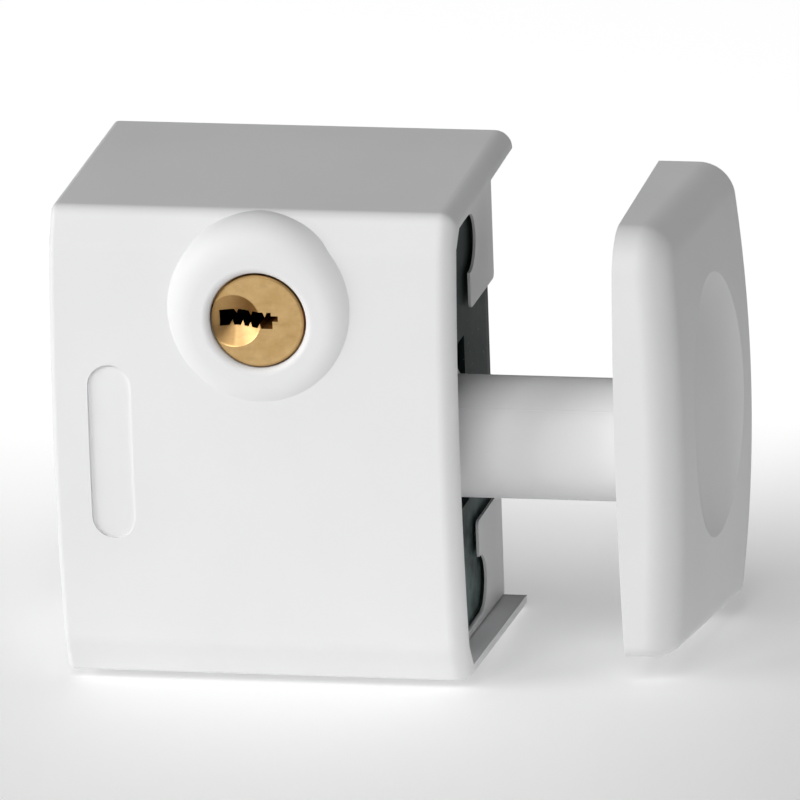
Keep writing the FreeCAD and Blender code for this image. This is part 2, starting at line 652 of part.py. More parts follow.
# Case: a die casting that is open at the back, in the cover
def make_case():
    body = new_body("lock_case")
    corner = front + cell.cornerSetback + cell.frontWall + 0.2
    shoulder_z = crown_half - 0.2
    shoulder = crown_y(shoulder_z, cell.frontWall + cell.coverGap)
    sketch = across_x(body, case_left)
    outline(sketch, [
        (case_back, case_bottom),
        (corner, case_bottom),
        (shoulder, -shoulder_z),
        (case_front, -case_flat),
        (case_front, case_flat),
        (shoulder, shoulder_z),
        (corner, case_top),
        (case_back, case_top),
    ])
    pad(body, sketch, case_right - case_left)
    sketch = across_y(body, case_back)
    rectangle(sketch, (inner_left, inner_bottom), (inner_right, inner_top))
    pocket(body, sketch, case_back - inner_front, reverse=True)

    # bearing bosses inside the side walls, and their bores
    left_boss = cell.boltRadius + cell.running + cell.boltBushWall + cell.seat + 1.45
    right_boss = cell.stemRadius + cell.running + cell.bushWall + cell.seat + 0.8
    sketch = across_x(body, inner_left)
    ring(sketch, bolt_y, cell.boltZ, left_boss)
    pad(body, sketch, cell.bossLength)
    sketch = across_x(body, inner_right)
    ring(sketch, bolt_y, cell.boltZ, right_boss)
    pad(body, sketch, cell.bossLength, reverse=True)
    sketch = across_x(body, case_left - 1)
    ring(sketch, bolt_y, cell.boltZ, left_boss - 1.45)
    pocket(body, sketch, cell.caseLeftWall + cell.bossLength + 2, reverse=True)
    sketch = across_x(body, case_right + 1)
    ring(sketch, bolt_y, cell.boltZ, right_boss - 0.8)
    pocket(body, sketch, cell.caseRightWall + cell.bossLength + 2)
    sketch = across_x(body, case_right + 1)
    rectangle(sketch, (bolt_y - 9.2, cell.boltZ - cell.pocketHalfHeight),
              (bolt_y + 9.2, cell.boltZ + cell.pocketHalfHeight))
    pocket(body, sketch, cell.pocketDepth + 1)

    # openings in the front wall for the cylinder, its pin housing and a driver
    sketch = across_y(body, inner_front)
    ring(sketch, cell.plugX, cell.plugZ, cell.bodyRadius + cell.running)
    pocket(body, sketch, cell.caseFrontWall + 1, reverse=True)
    sketch = across_y(body, inner_front)
    rectangle(sketch, (cell.plugX - cell.humpReach - cell.running, cell.plugZ - cell.humpHalf - cell.running),
              (cell.plugX, cell.plugZ + cell.humpHalf + cell.running))
    pocket(body, sketch, cell.caseFrontWall + 1, reverse=True)
    sketch = across_y(body, inner_front)
    for x in (-cell.mountX, cell.mountX):
        for z in (-cell.mountZ, cell.mountZ):
            ring(sketch, x, z, cell.accessRadius)
    pocket(body, sketch, cell.caseFrontWall + 1, reverse=True)

    # bed of the latch, the ribs beside it and the way through for the plug's tail
    sketch = across_y(body, bed_back)
    rectangle(sketch, (cell.plugX - bed_half, cell.plugZ - cell.bedDrop), (cell.plugX + bed_half, inner_top + 0.5))
    pad(body, sketch, cell.bedThick)
    for side in (-1, 1):
        sketch = across_y(body, bed_back)
        near_x = cell.plugX + side * (cell.latchHalf + cell.latchGap)
        far_x = cell.plugX + side * bed_half
        low_x, high_x = (far_x, near_x) if side < 0 else (near_x, far_x)
        rectangle(sketch, (low_x, cell.plugZ - cell.bedDrop + 0.4), (high_x, inner_top + 0.5))
        pad(body, sketch, cover_plate_front - bed_back, reverse=True)
    sketch = across_y(body, bed_back)
    ring(sketch, cell.plugX, cell.plugZ, cell.tailRadius + 0.9)
    pocket(body, sketch, cell.bedThick + 0.2, reverse=True)
    sketch = across_y(body, cover_plate_front)
    for side in (-1, 1):
        ring(sketch, cell.plugX + side * (bed_half - cell.ribWidth / 2), cell.plugZ + 1.2, 1 + cell.seat)
    pocket(body, sketch, 3, reverse=True)

    # posts of the back plate's screws
    for side in (-1, 1):
        for z in (cell.postHighZ, cell.postLowZ):
            sketch = across_y(body, case_back)
            near_x = side * (cell.postX - cell.postRadius)
            far_x = (inner_left - 0.5) if side < 0 else (inner_right + 0.5)
            low_x, high_x = (far_x, near_x) if side < 0 else (near_x, far_x)
            rectangle(sketch, (low_x, z - cell.postRadius), (high_x, z + cell.postRadius))
            pad(body, sketch, cell.postLength)
    sketch = across_y(body, case_back)
    for side in (-1, 1):
        for z in (cell.postHighZ, cell.postLowZ):
            ring(sketch, side * cell.postX, z, cell.postScrew + cell.seat)
    pocket(body, sketch, cell.postLength - 3, reverse=True)

    # blind holes of the guide rod and holes of the side plate's screws
    sketch = across_x(body, inner_left)
    ring(sketch, bolt_y, rod_z, cell.rodRadius + cell.seat)
    pocket(body, sketch, cell.caseLeftWall - 1)
    sketch = across_x(body, inner_right)
    ring(sketch, bolt_y, rod_z, cell.rodRadius + cell.seat)
    pocket(body, sketch, cell.caseRightWall - 1, reverse=True)
    sketch = across_x(body, case_right)
    for side in (-1, 1):
        ring(sketch, bezel_screw_y, cell.boltZ + side * cell.bezelScrewZ, cell.bezelScrew + cell.seat)
    pocket(body, sketch, cell.caseRightWall + 0.5)
    return body


# Plate against the sash, with the four mounting holes
def make_back_plate():
    body = new_body("back_plate")
    sketch = across_y(body, 0)
    rectangle(sketch, (case_left, case_bottom), (case_right, case_top))
    for x in (-cell.mountX, cell.mountX):
        for z in (-cell.mountZ, cell.mountZ):
            ring(sketch, x, z, cell.mountRadius)
    for x in (-cell.postX, cell.postX):
        for z in (cell.postLowZ, cell.postHighZ):
            ring(sketch, x, z, cell.postScrew + 0.1)
    pad(body, sketch, cell.backPlate)
    spots = [(x, z) for x in (-cell.postX, cell.postX) for z in (cell.postLowZ, cell.postHighZ)]
    countersink(body, cell.screwHead - cell.postScrew, spots, cell.postScrew + 0.1, "y", 0)
    return body


def make_back_plate_screws():
    screws = []
    for x in (-cell.postX, cell.postX):
        for z in (cell.postLowZ, cell.postHighZ):
            name = "back_screw_%d" % (len(screws) + 1)
            screws.append(countersunk(name, "y", (x, 0, z), cell.screwHead, cell.postScrew, 9))
    return group("back_plate_screws", screws)


# Side plate inside the rim. Its opening has two round lobes and runs out at the back.
def make_bezel():
    body = new_body("side_bezel")
    inset = cell.seatGap
    sketch = across_x(body, case_right)
    side_outline(sketch, cell.frontWall + inset, cell.topWall + inset, cell.bottomWall + inset, 0)
    pad(body, sketch, cell.bezelThick)
    slot_back = lobe_y - 0.4
    slot_high = cell.boltZ + cell.bezelLobe + cell.bezelLobeRadius
    slot_low = cell.boltZ - cell.bezelLobe - cell.bezelLobeRadius
    sketch = across_x(body, bezel_face)
    rectangle(sketch, (slot_front, slot_low), (slot_back, slot_high))
    pocket(body, sketch, cell.bezelThick)
    sketch = across_x(body, bezel_face)
    for side in (-1, 1):
        ring(sketch, lobe_y, cell.boltZ + side * cell.bezelLobe, cell.bezelLobeRadius)
    pocket(body, sketch, cell.bezelThick)
    sketch = across_x(body, bezel_face)
    rectangle(sketch, (slot_back - 1, cell.boltZ - cell.bezelNotch), (1, cell.boltZ + cell.bezelNotch))
    pocket(body, sketch, cell.bezelThick)
    sketch = across_x(body, bezel_face)
    ring(sketch, bolt_y, cell.boltZ, cell.stemRadius + 0.55)
    pocket(body, sketch, cell.bezelThick)
    corners = [(y, cell.boltZ + side * cell.bezelNotch) for y in (slot_back, 0) for side in (-1, 1)]
    corners += [(slot_front, slot_high), (slot_front, slot_low)]
    treat_edges(body, "Fillet", 0.9, lambda spots: abs(spots[0].x - spots[2].x) > 0.5
                and any(near(spots, "y", y) and near(spots, "z", z) for y, z in corners))
    sketch = across_x(body, bezel_face)
    holes = [(bezel_screw_y, cell.boltZ + side * cell.bezelScrewZ) for side in (-1, 1)]
    for y, z in holes:
        ring(sketch, y, z, cell.bezelScrew + 0.1)
    pocket(body, sketch, cell.bezelThick)
    countersink(body, cell.bezelHead - cell.bezelScrew, holes, cell.bezelScrew + 0.1, "x", bezel_face)
    return body


# Bushes of the bolt and of the stem in the side walls of the case
def make_bolt_bush():
    bore = cell.boltRadius + cell.running
    return tube("bolt_bush", "x", (case_left, bolt_y, cell.boltZ), bore + cell.boltBushWall, bore,
                cell.caseLeftWall + cell.bossLength)


def make_stem_bush():
    bore = cell.stemRadius + cell.running
    low = inner_right - cell.bossLength
    return tube("stem_bush", "x", (low, bolt_y, cell.boltZ), bore + cell.bushWall - 0.05, bore,
                case_right - 0.2 - low)


def make_bezel_screws():
    screws = []
    for side in (-1, 1):
        place = (bezel_face, bezel_screw_y, cell.boltZ + side * cell.bezelScrewZ)
        name = "bezel_screw_%d" % (len(screws) + 1)
        screws.append(countersunk(name, "x", place, cell.bezelHead, cell.bezelScrew, 3.9))
    return group("bezel_screws", screws)


# Brass body of the cylinder, with the pin housing on its left
def make_cylinder_body():
    body = new_body("cylinder_body")
    sketch = across_y(body, body_back)
    ring(sketch, cell.plugX, cell.plugZ, cell.bodyRadius)
    pad(body, sketch, body_back - body_front)
    sketch = across_y(body, case_front)
    ring(sketch, cell.plugX, cell.plugZ, cell.bodyFlange)
    pad(body, sketch, cell.bodyFlangeThick)
    hump_end = cell.plugX - cell.humpReach
    sketch = across_y(body, body_back)
    rectangle(sketch, (hump_end, cell.plugZ - cell.humpHalf), (cell.plugX, cell.plugZ + cell.humpHalf))
    pad(body, sketch, body_back - case_front)
    treat_edges(body, "Fillet", 1.2, lambda spots: near(spots, "x", hump_end)
                and abs(spots[0].y - spots[2].y) > 5)
    sketch = across_y(body, body_back)
    ring(sketch, cell.plugX, cell.plugZ, cell.plugRadius + cell.running)
    pocket(body, sketch, body_back - body_front + 1, reverse=True)
    sketch = across_y(body, inner_front + cell.clipThick + 0.1)
    ring(sketch, cell.plugX, cell.plugZ, cell.bodyRadius + 0.3)
    ring(sketch, cell.plugX, cell.plugZ, cell.bodyRadius - cell.clipGroove)
    pocket(body, sketch, cell.clipThick + 0.1, reverse=True)
    sketch = across_x(body, hump_end)
    for y in pin_places:
        ring(sketch, y, cell.plugZ, cell.pinRadius + cell.running)
    pocket(body, sketch, cell.humpReach - cell.plugRadius + 1, reverse=True)
    sketch = across_x(body, hump_end)
    rectangle(sketch, (pin_places[0] - cell.pinRadius - 0.1, cell.plugZ - 2.2),
              (pin_places[-1] + cell.pinRadius + 0.1, cell.plugZ + 2.2))
    pocket(body, sketch, pin_cover_thick, reverse=True)
    return body


def make_cylinder_clip():
    outer = cell.bodyRadius + 1.05
    flat = inner_top - 0.15
    place = (cell.plugX, inner_front + 0.05, cell.plugZ)
    washer = tube("clip_ring", "y", place, outer, cell.bodyRadius - cell.clipGroove + 0.05, cell.clipThick)
    opening = block("clip_opening", (cell.plugX - outer - 1, inner_front - 1, cell.plugZ - cell.humpHalf - 0.3),
                    (cell.plugX, inner_front + cell.clipThick + 1, cell.plugZ + cell.humpHalf + 0.3))
    above = block("clip_above", (cell.plugX - outer, inner_front - 1, flat),
                  (cell.plugX + outer, inner_front + cell.clipThick + 1, flat + outer))
    return cut("cylinder_clip", cut("clip_open_ring", washer, opening), above)


# The driver pins, outwards from the shear line, and their springs
def make_driver_pins():
    low = cell.plugX - cell.plugRadius - 2 * cell.running - cell.pinLength
    pins = [rod("driver_pin_%d" % number, "x", (low, y, cell.plugZ), cell.pinRadius, cell.pinLength)
            for number, y in enumerate(pin_places, start=1)]
    return group("driver_pins", pins)


def make_pin_springs():
    low = cell.plugX - cell.humpReach + pin_cover_thick + cell.seat
    high = cell.plugX - cell.plugRadius - 2 * cell.running - cell.pinLength - cell.seat
    springs = [rod("pin_spring_%d" % number, "x", (low, y, cell.plugZ), cell.pinRadius - 0.1, high - low)
               for number, y in enumerate(pin_places, start=1)]
    return group("pin_springs", springs)


def make_pin_cover():
    hump_end = cell.plugX - cell.humpReach
    return block("pin_cover", (hump_end, pin_places[0] - cell.pinRadius - 0.1 + cell.seat, cell.plugZ - 2.18),
                 (hump_end + pin_cover_thick, pin_places[-1] + cell.pinRadius + 0.1 - cell.seat,
                  cell.plugZ + 2.18))


# Plug with a countersunk key guide, a ridged keyway and a flatted tail
def make_plug():
    body = new_body("plug")
    sketch = across_y(body, plug_back)
    ring(sketch, cell.plugX, cell.plugZ, cell.plugRadius)
    pad(body, sketch, plug_back - plug_front)
    sketch = across_y(body, plug_front + cell.flangeThick)
    ring(sketch, cell.plugX, cell.plugZ, cell.plugFace)
    pad(body, sketch, cell.flangeThick)
    treat_edges(body, "Chamfer", 0.2, lambda spots: near(spots, "y", plug_front))

    sketch = across_y(body, tail_end, (cell.plugX, cell.plugZ))
    tail_outline(sketch, cell.tailRadius, cell.tailFlats / 2)
    pad(body, sketch, tail_end - plug_back)
    sketch = across_y(body, cam_back + 1)
    ring(sketch, cell.plugX, cell.plugZ, cell.tailRadius + 0.5)
    ring(sketch, cell.plugX, cell.plugZ, cell.tailRadius - 0.7)
    pocket(body, sketch, 0.8, reverse=True)

    sketch = new_sketch(body, "XY_Plane", (cell.plugX - cell.coneShift, plug_front, cell.plugZ))
    outline(sketch, [(0, -1), (cell.coneRadius * (1 + 1 / cell.coneDepth), -1), (0, cell.coneDepth)])
    turned(body, "Groove", sketch, "V_Axis")
    sketch = across_y(body, plug_back)
    keyway_outline(sketch)
    pocket(body, sketch, plug_back - plug_front + 1, reverse=True)
    sketch = across_x(body, cell.plugX - cell.plugRadius - 1)
    for y in pin_places:
        ring(sketch, y, cell.plugZ, cell.pinRadius + cell.running)
    pocket(body, sketch, cell.pinLength + 1, reverse=True)
    return body


# Round outline with two flats, round the sketch's origin
def tail_outline(sketch, radius, half_flats):
    half_width = (radius * radius - half_flats * half_flats).root()
    rise = radius - half_width
    outline(sketch, [
        (-half_width, -half_flats),
        (half_width, -half_flats),
        (half_width, half_flats),
        (-half_width, half_flats),
    ], {1: -rise, 3: -rise})


# The keyway lies flat. Ridges stand in from its lower and upper edges, and a side slot
# leaves it at the right.
def keyway_outline(sketch):
    low_ridges = (0.21, 0.41, 0.57, 0.76)
    high_ridges = (0.86, 0.58, 0.29)
    key_left = cell.plugX - cell.keyLeft
    key_right = cell.plugX + cell.keyRight
    width = key_right - key_left
    points = [(key_left, cell.plugZ - cell.keyHalf)]
    for share in low_ridges:
        x = key_left + width * share
        points.append((x - 0.35, cell.plugZ - cell.keyHalf))
        points.append((x, cell.plugZ - cell.keyHalf + cell.keyRidge))
        points.append((x + 0.25, cell.plugZ - cell.keyHalf))
    points.append((key_right, cell.plugZ - cell.keyHalf))
    points.append((key_right, cell.plugZ))
    points.append((key_right + cell.keyTab, cell.plugZ))
    points.append((key_right + cell.keyTab, cell.plugZ + cell.keyTab))
    points.append((key_right - 0.2, cell.plugZ + cell.keyTab))
    points.append((key_right - 0.2, cell.plugZ + cell.keyHalf + 0.2))
    for share in high_ridges:
        x = key_left + width * share
        points.append((x + 0.3, cell.plugZ + cell.keyHalf + 0.2))
        points.append((x, cell.plugZ + cell.keyHalf + 0.2 - cell.keyRidge))
        points.append((x - 0.3, cell.plugZ + cell.keyHalf + 0.2))
    points.append((key_left, cell.plugZ + cell.keyHalf + 0.2))
    outline(sketch, points)


def make_key_pins():
    low = cell.plugX - cell.plugRadius + 0.1
    pins = [rod("key_pin_%d" % number, "x", (low, y, cell.plugZ), cell.pinRadius, cell.pinLength - 0.2)
            for number, y in enumerate(pin_places, start=1)]
    return group("key_pins", pins)


# Eccentric disc on the flats of the tail
def make_cam():
    body = new_body("cam")
    centre_x = cell.plugX - cell.camShift * cell.camAngle.sine()
    centre_z = cell.plugZ + cell.camShift * cell.camAngle.cosine()
    sketch = across_y(body, cam_back)
    ring(sketch, centre_x, centre_z, cell.camRadius)
    pad(body, sketch, cell.latchThick - 0.4)
    sketch = across_y(body, cam_back, (cell.plugX, cell.plugZ))
    tail_outline(sketch, cell.tailRadius + cell.seat, cell.tailFlats / 2 + cell.seat)
    pocket(body, sketch, cell.latchThick + 1, reverse=True)
    treat_edges(body, "Chamfer", 0.3, lambda spots: near(spots, "y", spots[0].y)
                and math.hypot(spots[0].x - centre_x.value, spots[0].z - centre_z.value)
                > cell.camRadius.value - 0.01)
    return body


def make_plug_clip():
    place = (cell.plugX, cam_back + 0.25, cell.plugZ)
    washer = tube("plug_clip_ring", "y", place, cell.tailRadius + 1.5, cell.tailRadius - 0.65, 0.7)
    opening = block("plug_clip_opening", (cell.plugX - 1.2, cam_back - 1, cell.plugZ - cell.tailRadius - 3),
                    (cell.plugX + 1.2, cam_back + 2, cell.plugZ))
    return cut("plug_clip", washer, opening)


# Latch: a plate with a window for the cam and a toe that catches the carrier
def make_latch():
    body = new_body("latch")
    bar_low = window_low - cell.latchBar
    toe_low = bar_low - cell.latchToe
    latch_left = cell.plugX - cell.latchHalf
    latch_right = cell.plugX + cell.latchHalf
    sketch = across_y(body, latch_back)
    outline(sketch, [
        (latch_left, toe_low),
        (latch_left + 6.4, toe_low),
        (latch_left + 7.2, bar_low),
        (latch_right, bar_low),
        (latch_right, latch_top),
        (latch_left, latch_top),
    ])
    pad(body, sketch, cell.latchThick)
    sketch = across_y(body, latch_back)
    rectangle(sketch, (cell.plugX - cell.windowHalf, window_low), (cell.plugX + cell.windowHalf, window_high))
    pocket(body, sketch, cell.latchThick, reverse=True)
    treat_edges(body, "Fillet", 1.0, lambda spots: abs(spots[0].y - spots[2].y) > 2
                and spots[0].z > bar_low.value + 0.5)
    return body


def make_latch_cover():
    body = new_body("latch_cover")
    sketch = across_y(body, cover_plate_back)
    rectangle(sketch, (cell.plugX - bed_half, cell.plugZ - cell.bedDrop + 0.4),
              (cell.plugX + bed_half, inner_top - cell.seatGap))
    ring(sketch, cell.plugX, cell.plugZ, cell.tailRadius + 2)
    for side in (-1, 1):
        ring(sketch, cell.plugX + side * (bed_half - cell.ribWidth / 2), cell.plugZ + 1.2, 1.05)
    pad(body, sketch, cell.coverPlate)
    treat_edges(body, "Fillet", 1.0, lambda spots: abs(spots[0].y - spots[2].y) > 0.5
                and (near(spots, "x", cell.plugX - bed_half) or near(spots, "x", cell.plugX + bed_half)))
    return body


def make_latch_cover_screws():
    screws = []
    for side in (-1, 1):
        x = cell.plugX + side * (bed_half - cell.ribWidth / 2)
        name = "latch_screw_%d" % (len(screws) + 1)
        head = rod(name + "_head", "y", (x, cover_plate_back, cell.plugZ + 1.2), 1.9, 1)
        shank = rod(name + "_shank", "y", (x, cover_plate_front - 2.6, cell.plugZ + 1.2), 1,
                    cell.coverPlate + 2.6)
        socket = doc.addObject("Part::Prism", name + "_socket")
        socket.Polygon = 6
        socket.Circumradius = 0.9
        socket.Height = 2
        put(socket, (x, cover_plate_back + 0.4, cell.plugZ + 1.2), "y")
        screws.append(cut(name, fuse(name + "_blank", [head, shank]), socket))
    return group("latch_cover_screws", screws)


# Bow spring between the latch and the roof of the case
def make_latch_spring():
    body = new_body("latch_spring")
    strip = Size(0.4, "0.4")
    low = latch_top + 0.1
    rise = inner_top - 0.05 - low - strip
    sketch = across_y(body, latch_back - 0.3)
    outline(sketch, [
        (cell.plugX - cell.windowHalf, low),
        (cell.plugX + cell.windowHalf, low),
        (cell.plugX + cell.windowHalf, low + strip),
        (cell.plugX - cell.windowHalf, low + strip),
    ], {0: rise, 2: -rise})
    pad(body, sketch, cell.latchThick - 0.6)
    return body


# Guide rod, and the spring that pushes the carrier back along it, as a plain sleeve
def make_guide_rod():
    low = inner_left - cell.caseLeftWall + 1.2
    high = inner_right + cell.caseRightWall - 1.2
    return rod("guide_rod", "x", (low, bolt_y, rod_z), cell.rodRadius, high - low)


def make_return_spring():
    low = inner_left + 0.05
    return tube("return_spring", "x", (low, bolt_y, rod_z), cell.coilRadius + cell.wire / 2,
                cell.coilRadius - cell.wire / 2, ear_left - 0.05 - low)


def make_stop_buffer():
    low = cell.carrierRight + cell.seatGap
    return tube("stop_buffer", "x", (low, bolt_y, rod_z), cell.bufferRadius, cell.rodRadius + cell.running,
                inner_right - low)


# Steel bolt with a bevelled nose and a thinner threaded end
def make_bolt():
    body = new_body("bolt")
    nose = left + cell.boltSetback
    end = handle_left + cell.panelThick + cell.nutHeight
    sketch = new_sketch(body, "XZ_Plane", (0, cell.boltZ, -bolt_y))
    outline(sketch, [
        (nose, 0),
        (end, 0),
        (end, cell.boltStub - 0.5),
        (end - 0.5, cell.boltStub),
        (handle_left, cell.boltStub),
        (handle_left, cell.boltRadius),
        (nose + 1.5, cell.boltRadius),
        (nose, cell.boltRadius - 1),
    ])
    turned(body, "Revolution", sketch, "H_Axis")
    sketch = across_y(body, bolt_y)
    ring(sketch, pin_x, cell.boltZ, carrier_pin_radius + cell.seat)
    pocket(body, sketch, 2 * cell.boltRadius + 2, middle=True)
    return body


def make_bolt_nut():
    low = handle_left + cell.panelThick
    blank = doc.addObject("Part::Prism", "nut_blank")
    blank.Polygon = 6
    bind(blank, "Circumradius", cell.nutFlats / as_size(3).root())
    bind(blank, "Height", cell.nutHeight)
    put(blank, (low, bolt_y, cell.boltZ), "x")
    bore = rod("nut_bore", "x", (low, bolt_y, cell.boltZ), cell.boltStub + cell.seat, cell.nutHeight)
    return cut("bolt_nut", blank, bore)


# Moulded tube over the bolt, with the panel that fills the handle plate's back
def make_stem():
    body = new_body("handle_stem")
    sketch = across_x(body, cell.carrierRight)
    ring(sketch, bolt_y, cell.boltZ, cell.stemRadius)
    pad(body, sketch, handle_left - cell.carrierRight)
    inset = cell.plateShell + 0.15
    sketch = across_x(body, handle_left)
    plate_outline(sketch, inset)
    pad(body, sketch, cell.panelThick)
    sketch = across_x(body, cell.carrierRight)
    ring(sketch, bolt_y, cell.boltZ, cell.boltRadius + cell.seat)
    pocket(body, sketch, handle_left - cell.carrierRight, reverse=True)
    sketch = across_x(body, handle_left)
    ring(sketch, bolt_y, cell.boltZ, cell.boltStub + cell.seat)
    pocket(body, sketch, cell.panelThick, reverse=True)
    return body


# Side outline of the handle plate, moved in by an inset: the crown runs over its whole front
def plate_outline(sketch, inset):
    low = -(cell.frontHeight / 2 - cell.plateBottom - inset)
    high = cell.frontHeight / 2 - cell.plateTop - inset
    back = -(cell.plateBack + inset)
    slope = (cell.backHeight - cell.frontHeight) / 2
    low_front = crown_y(low, cell.plateFront + inset)
    high_front = crown_y(high, cell.plateFront + inset)
    chord = (high - low) * (high - low) + (high_front - low_front) * (high_front - low_front)
    outline(sketch, [
        (back, low - slope),
        (low_front, low),
        (high_front, high),
        (back, high + slope),
    ], {1: rise_over(crown_radius, chord.root() / 2)})


# Handle plate: thicker at its back, crowned outside, with a finger dish
def make_handle_plate():
    body = new_body("handle_plate")
    plate_front = front + cell.plateFront
    plate_back = -cell.plateBack
    slope = (cell.plateBackThick - cell.plateFrontThick) / (plate_back - plate_front)

    sketch = across_x(body, handle_left)
    plate_outline(sketch, Size(0, "0"))
    pad(body, sketch, cell.plateBackThick + 4)

    # the outer face, crowned and leaning outwards to the back
    crown = (crown_half * crown_half + cell.plateCrown * cell.plateCrown) / (2 * cell.plateCrown)
    reach = cell.backHeight / 2 + 2
    drop = rise_over(crown, reach)
    sketch = across_y(body, plate_front)
    bind(sketch, "AttachmentOffset.Base.x", handle_left + cell.plateFrontThick)
    lean(sketch, "AttachmentOffset", Vector(0, 1, 0), -slope)
    outline(sketch, [(-drop, -reach), (20, -reach), (20, reach), (-drop, reach)], {3: drop})
    pocket(body, sketch, 3 * cell.coverDepth, middle=True)

    # outer edges, rounder in front and above than below
    top_front = cell.frontHeight / 2 - cell.plateTop
    low_front = -(cell.frontHeight / 2 - cell.plateBottom)
    treat_edges(body, "Fillet", cell.plateCornerRound, lambda spots: abs(spots[0].x - spots[2].x) > 5
                and near(spots, "z", top_front) and near(spots, "y", crown_y(top_front, cell.plateFront)))
    outside = handle_left + cell.plateFrontThick - 4

    def outer(spots):
        return min(spot.x for spot in spots) > outside.value and not near(spots, "y", plate_back)

    treat_edges(body, "Fillet", cell.plateTopRound, lambda spots: outer(spots)
                and spots[1].z > low_front.value + 0.1 and abs(spots[0].x - spots[2].x) < 5)
    treat_edges(body, "Fillet", cell.plateBottomRound, lambda spots: outer(spots)
                and spots[1].z < 0 and abs(spots[0].y - spots[2].y) > cell.plateBackThick.value)
    treat_edges(body, "Chamfer", 0.5, lambda spots: near(spots, "y", plate_back)
                and min(spot.x for spot in spots) > handle_left.value + 0.1
                and abs(spots[0].z - spots[2].z) > cell.plateBackThick.value)

    # finger dish, as a wheel with a round rim would press it into the outer face
    across = (cell.dishHalfWidth * cell.dishHalfWidth + cell.dishDepth * cell.dishDepth) / (2 * cell.dishDepth)
    dip = cell.dishDepth - rise_over(crown, cell.dishHalfHeight)
    wheel = (cell.dishHalfHeight * cell.dishHalfHeight + dip * dip) / (2 * dip)
    rim_half = cell.dishHalfWidth + 2
    rim = rise_over(across, rim_half) - wheel
    slant = (1 + slope * slope).root()
    outer_x = handle_left + cell.plateFrontThick + slope * (cell.dishY - plate_front)
    away = (wheel - cell.dishDepth) / slant
    sketch = new_sketch(body, "XY_Plane", (outer_x + away, cell.dishY - away * slope, cell.dishZ))
    lean(sketch, "AttachmentOffset", Vector(0, 0, 1), -slope)
    outline(sketch, [(rim, -rim_half), (rim, rim_half), (rim + 2, rim_half), (rim + 2, -rim_half)],
            {0: rise_over(across, rim_half)})
    turned(body, "Groove", sketch, "V_Axis")

    # hollow behind, for the panel and the nut
    sketch = across_x(body, handle_left)
    plate_outline(sketch, cell.plateShell)
    pocket(body, sketch, cell.plateCore, reverse=True)
    sketch = across_x(body, handle_left)
    ring(sketch, bolt_y, cell.boltZ, cell.nutFlats / as_size(3).root() + 0.7)
    pocket(body, sketch, cell.panelThick + cell.nutHeight + cell.seatGap, reverse=True)
    return body


# Carrier on the bolt: a collar with the latch's catch above and the spring's ear below
def make_carrier():
    body = new_body("carrier")
    collar = cell.stemRadius - 0.05
    sketch = across_x(body, carrier_left)
    ring(sketch, bolt_y, cell.boltZ, collar)
    pad(body, sketch, cell.carrierLength)
    sketch = across_x(body, ear_left)
    rectangle(sketch, (bolt_y - 4, rod_z - 4), (bolt_y + 4, cell.boltZ - collar + 2))
    pad(body, sketch, cell.carrierRight - ear_left)
    treat_edges(body, "Fillet", 1.2, lambda spots: abs(spots[0].x - spots[2].x) > 3
                and near(spots, "z", rod_z - 4))
    sketch = across_y(body, catch_back, (carrier_left, cell.boltZ))
    catch_rise = catch_top - cell.boltZ
    outline(sketch, [
        (0, 4.8),
        (cell.carrierLength - 2, 4.8),
        (cell.carrierLength - 2, catch_rise),
        (2, catch_rise),
        (0, catch_rise - 3),
    ])
    pad(body, sketch, cell.catchThick)
    sketch = across_x(body, carrier_left)
    ring(sketch, bolt_y, cell.boltZ, cell.boltRadius + cell.seat)
    pocket(body, sketch, cell.carrierLength, reverse=True)
    sketch = across_x(body, ear_left)
    ring(sketch, bolt_y, rod_z, cell.rodRadius + cell.running)
    pocket(body, sketch, cell.carrierRight - ear_left, reverse=True)
    sketch = across_y(body, bolt_y)
    ring(sketch, pin_x, cell.boltZ, carrier_pin_radius + cell.seat)
    pocket(body, sketch, 2 * collar + 2, middle=True)
    return body


def make_carrier_pin():
    length = 2 * (cell.stemRadius - 0.25)
    return rod("carrier_pin", "y", (pin_x, bolt_y - length / 2, cell.boltZ), carrier_pin_radius, length)


makers = {
    "cover": make_cover,
    "lock_case": make_case,
    "back_plate": make_back_plate,
    "back_plate_screws": make_back_plate_screws,
    "side_bezel": make_bezel,
    "bezel_screws": make_bezel_screws,
    "bolt_bush": make_bolt_bush,
    "stem_bush": make_stem_bush,
    "cylinder_body": make_cylinder_body,
    "cylinder_clip": make_cylinder_clip,
    "driver_pins": make_driver_pins,
    "pin_springs": make_pin_springs,
    "pin_cover": make_pin_cover,
    "plug": make_plug,
    "key_pins": make_key_pins,
    "cam": make_cam,
    "plug_clip": make_plug_clip,
    "latch": make_latch,
    "latch_cover": make_latch_cover,
    "latch_cover_screws": make_latch_cover_screws,
    "latch_spring": make_latch_spring,
    "guide_rod": make_guide_rod,
    "return_spring": make_return_spring,
    "stop_buffer": make_stop_buffer,
    "carrier": make_carrier,
    "carrier_pin": make_carrier_pin,
    "bolt": make_bolt,
    "bolt_nut": make_bolt_nut,
    "handle_stem": make_stem,
    "handle_plate": make_handle_plate,
}
for label, make in makers.items():
    keep(make(), label)
doc.recompute()

for thing in doc.Objects:
    if "Invalid" in thing.State or "Error" in thing.State:
        raise ValueError("%s is %s" % (thing.Name, thing.State))
for thing in finished:
    shape = thing.Shape
    if shape.isNull() or not shape.isValid() or not shape.Solids:
        raise ValueError("%s has no valid solid" % thing.Label)
    shape.exportStep("parts/%s.step" % thing.Label)
    print(thing.Label, len(shape.Solids), round(shape.Volume, 1))
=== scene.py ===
import json
import math

import bmesh
import bpy
from mathutils import Matrix, Vector


